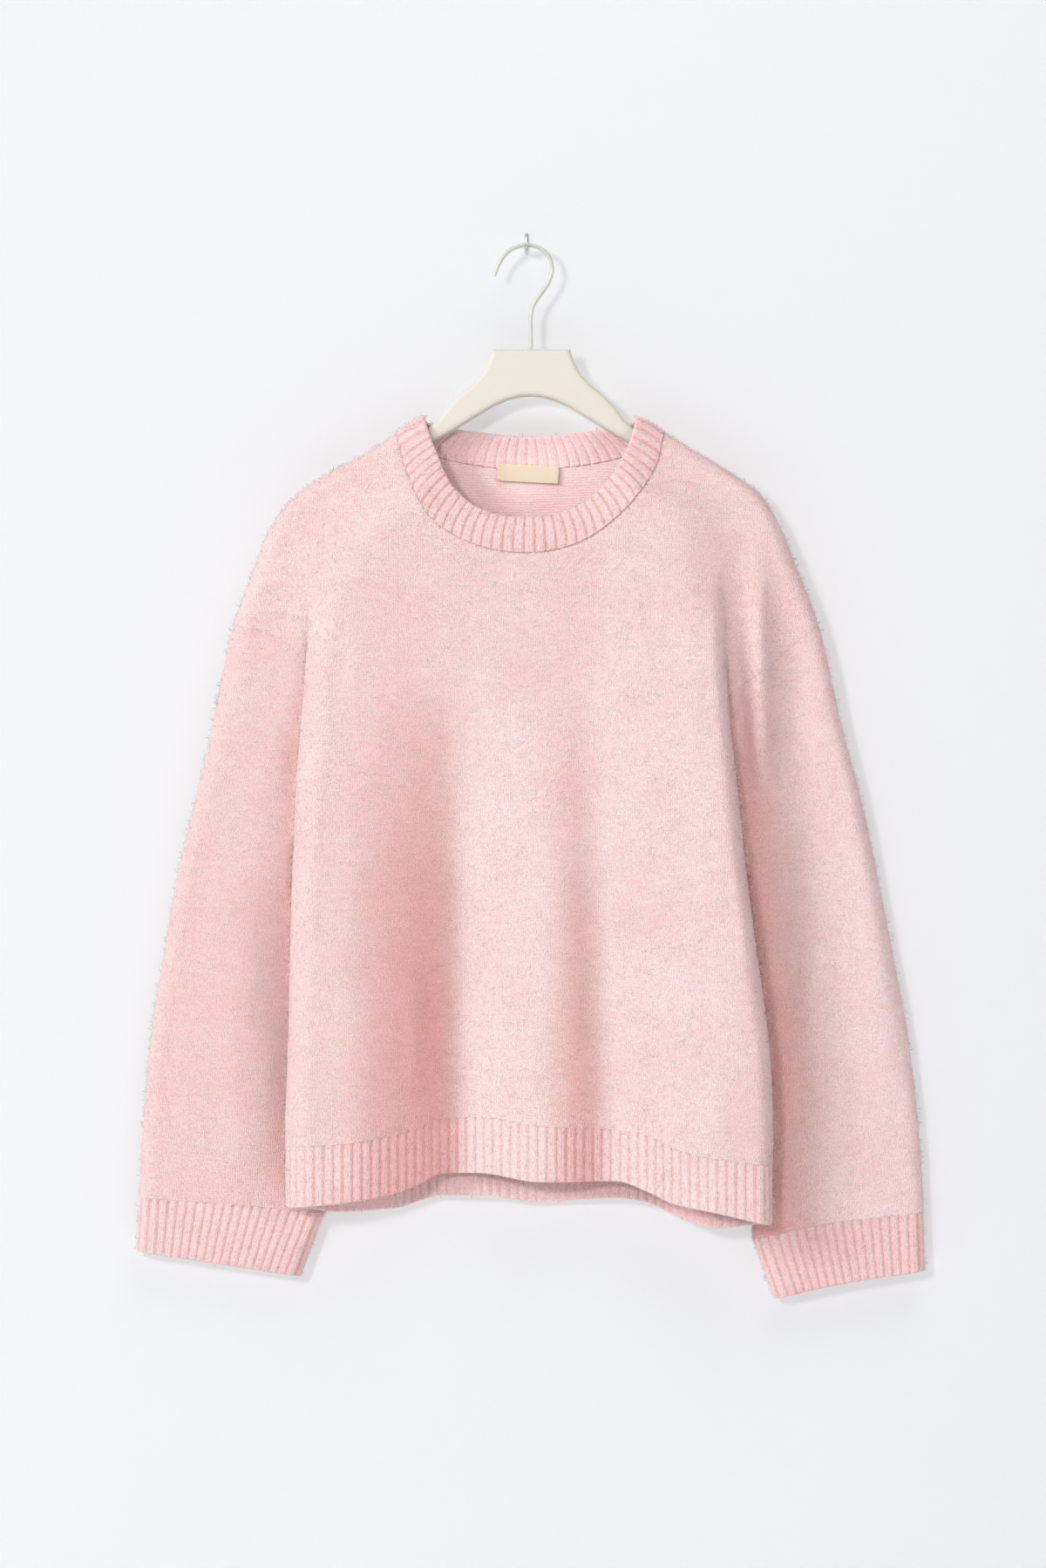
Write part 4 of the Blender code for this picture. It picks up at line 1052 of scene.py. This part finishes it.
# ---- Nap: loose fibres brushed up from the yarn all over the outside ----
# Each fibre is a fine bent ribbon, rooted in the knit and leaning at random; the ribs were brushed less.

# Fibres to a square metre, their length in millimetres, how many degrees they lean up, and the seed; then what
# the cloth was knitted to before it hung, in metres: all round on a tube, and the neck rib folded double
NAPS = table(
    "cloth density long upright seed wide deep area hangs_from",
    ("front_panel", 125000, 5.0, -30, 3, 0.49, 0.60, 0.225, "hanger_body"),
    ("back_panel", 60000, 4.2, -30, 5, 0.48, 0.59, 0.222, "hanger_body"),
    ("sleeve_right", 105000, 5.0, -30, 7, 0.31, 0.47, 0.112, "front_panel"),
    ("sleeve_left", 105000, 5.0, -30, 11, 0.31, 0.48, 0.118, "front_panel"),
    ("front_hem_rib", 120000, 3.8, -30, 13, 0.41, 0.048, None, "front_panel"),
    ("back_hem_rib", 60000, 3.6, -25, 17, 0.40, 0.050, None, "back_panel"),
    ("cuff_right", 110000, 3.8, -30, 19, 0.27, 0.047, None, "sleeve_right"),
    ("cuff_left", 110000, 3.8, -30, 23, 0.26, 0.047, None, "sleeve_left"),
    ("neck_rib", 190000, 3.2, -30, 29, 0.53, 0.030, None, "front_panel"))
LEAN = 34                   # degrees that they lean down at most
SIDEWAYS = 0.7              # and to each side, in radians
SIZES = (0.5, 1.2)          # shares of the length, from the shortest fibre to the longest
FIBRE_WIDE = 0.2
NAP_DARK = (0.86, 0.62, 0.61)
NAP_LIGHT = (0.96, 0.83, 0.82)


def nap_tree():
    """Fibres scattered over the outer faces of a cloth, each with the cloth's own direction kept for its shade."""
    tree = bpy.data.node_groups.new("brushed nap", "GeometryNodeTree")
    given, ends = sockets(tree, {"Cloth": "Geometry", "Density": "Float", "Long": "Float", "Wide": "Float",
                                 "Upright": "Float", "Lean": "Float", "Seed": "Int", "Fibre": "Material"},
                          {"Nap": "Geometry"})
    seed = {"Seed": given["Seed"]}

    def stored(points, name, value, kind):
        return put(tree, "GeometryNodeStoreNamedAttribute", points, None, name, value, data_type=kind).outputs[0]

    def vector(*values):
        return put(tree, "ShaderNodeCombineXYZ", *values).outputs[0]

    outer = put(tree, "FunctionNodeCompare", None, None, put(tree, "GeometryNodeInputMaterialIndex").outputs[0], 0,
                data_type="INT", operation="EQUAL").outputs[0]
    roots = put(tree, "GeometryNodeDistributePointsOnFaces",
                into={"Mesh": given["Cloth"], "Selection": outer, "Density": given["Density"], **seed}).outputs
    tone = put(tree, "FunctionNodeRandomValue", into=seed).outputs[1]
    points = stored(roots["Points"], "tone", tone, "FLOAT")
    points = stored(points, "skin", roots["Normal"], "FLOAT_VECTOR")

    bend = vector(0.0, 0.0, maths(tree, "MULTIPLY", given["Long"], 0.5))
    reach = maths(tree, "MULTIPLY", given["Long"], 0.6)
    path = put(tree, "GeometryNodeCurveQuadraticBezier", 2, (0, 0, 0), bend, vector(reach, 0.0, reach)).outputs[0]
    half = maths(tree, "MULTIPLY", given["Wide"], 0.5)
    flat = put(tree, "GeometryNodeCurvePrimitiveLine",
               into={"Start": vector(maths(tree, "MULTIPLY", half, -1), 0.0, 0.0), "End": vector(half, 0.0, 0.0)})
    fibre = put(tree, "GeometryNodeCurveToMesh", into={"Curve": path, "Profile Curve": flat.outputs[0]}).outputs[0]

    turn = put(tree, "FunctionNodeRandomValue", vector(-SIDEWAYS, given["Upright"], 0.0),
               vector(SIDEWAYS, given["Lean"], 2 * math.pi), data_type="FLOAT_VECTOR", into=seed).outputs[0]
    turned = put(tree, "FunctionNodeEulerToRotation", turn).outputs[0]
    leaning = put(tree, "FunctionNodeRotateRotation", roots["Rotation"], turned, rotation_space="LOCAL").outputs[0]
    size = put(tree, "FunctionNodeRandomValue", None, None, *SIZES, into=seed).outputs[1]
    placed = put(tree, "GeometryNodeInstanceOnPoints",
                 into={"Points": points, "Instance": fibre, "Rotation": leaning, "Scale": size}).outputs[0]
    real = put(tree, "GeometryNodeRealizeInstances", placed).outputs[0]
    tree.links.new(put(tree, "GeometryNodeSetMaterial", real, None, given["Fibre"]).outputs[0], ends["Nap"])
    return tree


fibre_finish, tree, shader = material("brushed fibre", 0.9, Specular_IOR_Level=0.1, Sheen_Weight=0.2)
# The fibres take the same painted light and shade as the cloth they grow from
tone, painted_shading = (put(tree, "ShaderNodeAttribute", attribute_name=name).outputs["Fac"] for name in ("tone", "painted_shading"))
deep = mix_colour(tree, painted_shading, PAINTED_LIGHT, PAINTED_SHADE)
shade = mix_colour(tree, 1.0, mix_colour(tree, tone, NAP_DARK, NAP_LIGHT), deep, "MULTIPLY")
tree.links.new(shade, shader.inputs["Base Color"])
tree.links.new(put(tree, "ShaderNodeAttribute", attribute_name="skin").outputs["Vector"], shader.inputs["Normal"])

NAP_TREE = nap_tree()
for nap in NAPS:
    cloth = made[nap.cloth]
    brushed = cloth.modifiers.new("nap", "NODES")
    brushed.node_group = NAP_TREE
    given = {"Density": float(nap.density), "Long": nap.long * 0.001, "Wide": FIBRE_WIDE * 0.001,
             "Upright": math.radians(nap.upright), "Lean": math.radians(LEAN), "Seed": nap.seed,
             "Fibre": fibre_finish}
    for socket in NAP_TREE.interface.items_tree:
        if socket.name in given:
            brushed[socket.identifier] = given[socket.name]
    fibres = bpy.data.meshes.new_from_object(cloth.evaluated_get(bpy.context.evaluated_depsgraph_get()))
    cloth.modifiers.remove(brushed)
    fibres.name = "nap_" + nap.cloth
    fuzz = add_object("nap_" + nap.cloth, fibres)
    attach(fuzz, "root")


# ---- Label: a small woven tape, sewn by its ends to the back neck seam; it carries nothing ----
# The ends are turned under, so they are a little thicker, and a few stitches hold them.

LABEL_WIDE = 50
LABEL_DEEP = 14
LABEL_THICK = 1.0
LABEL_TOP = (-25.5, -173)
LABEL_TILT = math.radians(-3)
LABEL_CLEAR = COLLAR_THICK / 2 + LABEL_THICK / 2 + 0.7
LABEL_EDGE = 0.5            # radius of its edges
LABEL_ROWS = (0, 0.15, 0.5, 1.2, 3, 5, 7, 9, 11, 12.8, 13.5, 13.85, 14)
TURNED = 4.5                # width of a turned end, and how much it stands up
TURNED_HIGH = 0.28
ECRU = (0.80, 0.68, 0.50)


def on_label(across, down):
    """Where in front view a place on the label is."""
    return (LABEL_TOP[0] + across * math.cos(LABEL_TILT) + down * math.sin(LABEL_TILT),
            LABEL_TOP[1] + across * math.sin(LABEL_TILT) - down * math.cos(LABEL_TILT))


across, down = np.meshgrid(spacing(LABEL_WIDE, 40, start=True, end=True) * LABEL_WIDE, LABEL_ROWS)
x, z = on_label(across, down)
behind = panel_depth(x, np.minimum(z, track(NECK_BACK, "x", "seam_z")(x)), 1) - LABEL_CLEAR
grid = np.stack((x, behind, z), axis=-1)
end = np.minimum(across, LABEL_WIDE - across)
edge = quarter(np.minimum(end, np.minimum(down, LABEL_DEEP - down)), LABEL_EDGE)
share = 0.2 + 0.8 * edge
turned = TURNED_HIGH * ease((TURNED - end) / 0.6 + 0.5) * edge
label = Cloth([grid], [np.stack((across, down), axis=-1) * 0.001], LABEL_THICK, relief=[turned], share=[share])
share_normals([label])

tape, tree, shader = material("woven tape", 0.6, Specular_IOR_Level=0.3, Sheen_Weight=0.15)
place = put(tree, "ShaderNodeUVMap", uv_map="cloth").outputs[0]
warp, weft = (put(tree, "ShaderNodeTexWave", place, scale, 1.5, 1.0, wave_type="BANDS",
                  bands_direction=way).outputs[1] for way, scale in (("X", 900.0), ("Y", 700.0)))
weave = maths(tree, "MULTIPLY", warp, weft)
shade = mix_colour(tree, weave, darker(ECRU, 0.86), ECRU)
tree.links.new(shade, shader.inputs["Base Color"])
bump = put(tree, "ShaderNodeBump", 0.4, 0.0001, None, weave).outputs[0]
tree.links.new(bump, shader.inputs["Normal"])
made["neck_label"] = label.make("soft_neck_label", tape, tape)
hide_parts("neck_label")
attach(made["neck_label"], "root")

STITCH_ROUND = 0.28
STITCH_LONG = 2.2
STITCH_STRAYS = 8           # degrees
STITCHES = [(end, 1.6 + 3.6 * row) for end in (1.7, LABEL_WIDE - 1.7) for row in range(4)]
stitching = bmesh.new()
for along, down in STITCHES:
    x, z = on_label(along, down)
    y = float(np.interp(x, grid[0, :, 0], grid[0, :, 1])) - LABEL_THICK / 2 - STITCH_ROUND
    strays = random.Random(round(along * 10 + down)).uniform(-STITCH_STRAYS, STITCH_STRAYS)
    turn = Matrix.Rotation(LABEL_TILT + math.radians(strays), 4, (0, -1, 0))
    shape = Matrix.Diagonal((STITCH_LONG / 2, STITCH_ROUND, STITCH_ROUND, 1))
    placed = Matrix.Scale(0.001, 4) @ Matrix.Translation((x, y, z)) @ turn @ shape
    bmesh.ops.create_uvsphere(stitching, u_segments=10, v_segments=8, radius=1, matrix=placed)
mesh = bpy.data.meshes.new("label_stitches")
stitching.to_mesh(mesh)
stitching.free()
mesh.shade_smooth()
thread = mottled("sewing thread", 0.6, 3000.0, (0.62, 0.50, 0.36), (0.72, 0.60, 0.44), Specular_IOR_Level=0.3)[0]
mesh.materials.append(thread)
stitches = add_object("label_stitches", mesh)
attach(stitches, "root")


# ---- Setting: the wall behind and a pale floor far below, which are no part of the object ----
# The wall keeps the sweater's shadow and is seen through from behind.

WALL_Y = 0.036
WALL_TINT = (0.90, 0.923, 0.942)
GLOW_LEFT = (1.32, 1.345, 1.37)
GLOW_RIGHT = (1.14, 1.16, 1.175)
GLOW_FALLS = 0.5            # the glow fades downwards half as fast as to the right, between these two places
GLOW_FROM = -0.2
GLOW_TO = 1.0
WALL_SHARE = 0.3            # how much of the wall's white is a painted glow, brighter to the left, so that the shadow on it stays pale
FLOOR_Z = -1.75
FLOOR_PALE = (0.88, 0.88, 0.89)
PEG_X = -0.002
PEG = [(0.036, 0.013), (0.0325, 0.013), (0.031, 0.0105), (0.031, 0.0012), (0.0295, -0.0017), (0.026, -0.0019),
       (-0.003, -0.0019), (-0.0052, -0.0012), (-0.0058, 0.0015), (-0.0058, 0.0032)]
PEG_ROUND = 0.0017


def sheet_of(name, corners, finish):
    mesh = bpy.data.meshes.new(name)
    mesh.from_pydata(corners, [], [(0, 1, 2, 3)])
    mesh.materials.append(finish)
    return add_object(name, mesh)


wall_paint, tree, shader, place = mottled("wall paint", 0.9, 3.0, darker(WALL_TINT, 0.99), WALL_TINT,
                                          Specular_IOR_Level=0.1)
clear = tree.nodes.new("ShaderNodeBsdfTransparent")
behind = tree.nodes.new("ShaderNodeNewGeometry").outputs["Backfacing"]
spot = put(tree, "ShaderNodeSeparateXYZ", place).outputs
lower = maths(tree, "MULTIPLY_ADD", spot[2], -GLOW_FALLS, spot[0])
across = put(tree, "ShaderNodeMapRange", lower, GLOW_FROM, GLOW_TO).outputs[0]
glow = put(tree, "ShaderNodeEmission", mix_colour(tree, across, GLOW_LEFT, GLOW_RIGHT), 1.0)
lit = put(tree, "ShaderNodeMixShader", WALL_SHARE, shader.outputs[0], glow.outputs[0])
rays = tree.nodes.new("ShaderNodeLightPath").outputs
eye = maths(tree, "MAXIMUM", rays["Is Camera Ray"], rays["Is Glossy Ray"])
eye = maths(tree, "MAXIMUM", eye, rays["Is Transmission Ray"])
seen = put(tree, "ShaderNodeMixShader", eye, shader.outputs[0], lit.outputs[0])
through = put(tree, "ShaderNodeMixShader", behind, seen.outputs[0], clear.outputs[0])
tree.links.new(through.outputs[0], tree.nodes["Material Output"].inputs["Surface"])
wall = sheet_of("wall", [(-3, WALL_Y, FLOOR_Z), (3, WALL_Y, FLOOR_Z), (3, WALL_Y, 2), (-3, WALL_Y, 2)], wall_paint)
wall.visible_shadow = False
floor_paint = mottled("floor", 0.9, 3.0, (0.86, 0.86, 0.87), FLOOR_PALE, Specular_IOR_Level=0.1)[0]
floor = sheet_of("floor", [(-3, -4, FLOOR_Z), (3, -4, FLOOR_Z), (3, 3, FLOOR_Z), (-3, 3, FLOOR_Z)], floor_paint)
wire = bpy.data.curves.new("wall peg", "CURVE")
wire.dimensions = "3D"
wire.bevel_depth = PEG_ROUND
wire.bevel_resolution = 4
wire.use_fill_caps = True
line = wire.splines.new("POLY")
line.points.add(len(PEG) - 1)
for point, (y, z) in zip(line.points, PEG):
    point.co = (PEG_X, y, z, 1)
bent = add_object("bent wire", wire)
peg = add_object("wall peg", bpy.data.meshes.new_from_object(
    bent.evaluated_get(bpy.context.evaluated_depsgraph_get())))
bpy.data.objects.remove(bent)
steel = mottled("brushed steel", 0.3, 400.0, (0.52, 0.52, 0.51), (0.62, 0.62, 0.61), Metallic=1.0)[0]
peg.data.materials.append(steel)


# ---- Light: a soft window up to the left and a weaker one on the right, with an even room round them ----
# Two smaller lamps fill from the front and above, and one lights the back.

CENTRE = (0, 0, -0.45)


def lamp(name, place, aim, size, power):
    """A square lamp, aimed at a point."""
    data = bpy.data.lights.new(name, "AREA")
    data.shape = "RECTANGLE"
    data.size = data.size_y = size
    data.energy = power
    item = add_object(name, data)
    item.location = place
    item.rotation_euler = (Vector(aim) - Vector(place)).to_track_quat("-Z", "Y").to_euler()
    return item


window = lamp("window", (-4.6, -3.1, 1.8), CENTRE, 2.4, 282)
window.data.color = (0.965, 1.0, 1.0)
lamp("front", (-1.1, -3.75, 0.3), CENTRE, 0.4, 43)
right = lamp("right", (3.6, -2.9, -0.2), CENTRE, 1.4, 54)
lamp("ceiling", (0.5, -1.5, 1.9), (0, 0, -0.2), 1.6, 17)
lamp("behind", (0.4, 2.8, 0.8), CENTRE, 2.5, 40)
# The two windows' light leaves out the wall, which has the other lamps and the room for its own
left_out = bpy.data.collections.new("left out by the windows")
left_out.objects.link(wall)
for side_lamp in (window, right):
    side_lamp.light_linking.receiver_collection = left_out
left_out.collection_objects[0].light_linking.link_state = "EXCLUDE"
world = bpy.data.worlds.new("room")
world.use_nodes = True
room = world.node_tree.nodes["Background"].inputs
room["Color"].default_value = (1.0, 0.87, 0.86, 1)
room["Strength"].default_value = 0.21
scene.world = world


# ---- Camera ----

DISTANCE = 4.0
FRAME_HIGH = 1.2586         # height in view at the sweater
lens = bpy.data.cameras.new("camera")
lens.sensor_fit = "AUTO"
lens.sensor_width = 36
lens.lens = lens.sensor_width * DISTANCE / FRAME_HIGH
camera = add_object("camera", lens)
camera.location = (-0.005, -DISTANCE, -0.431)
camera.rotation_euler = (math.radians(90), 0, 0)
scene.camera = camera
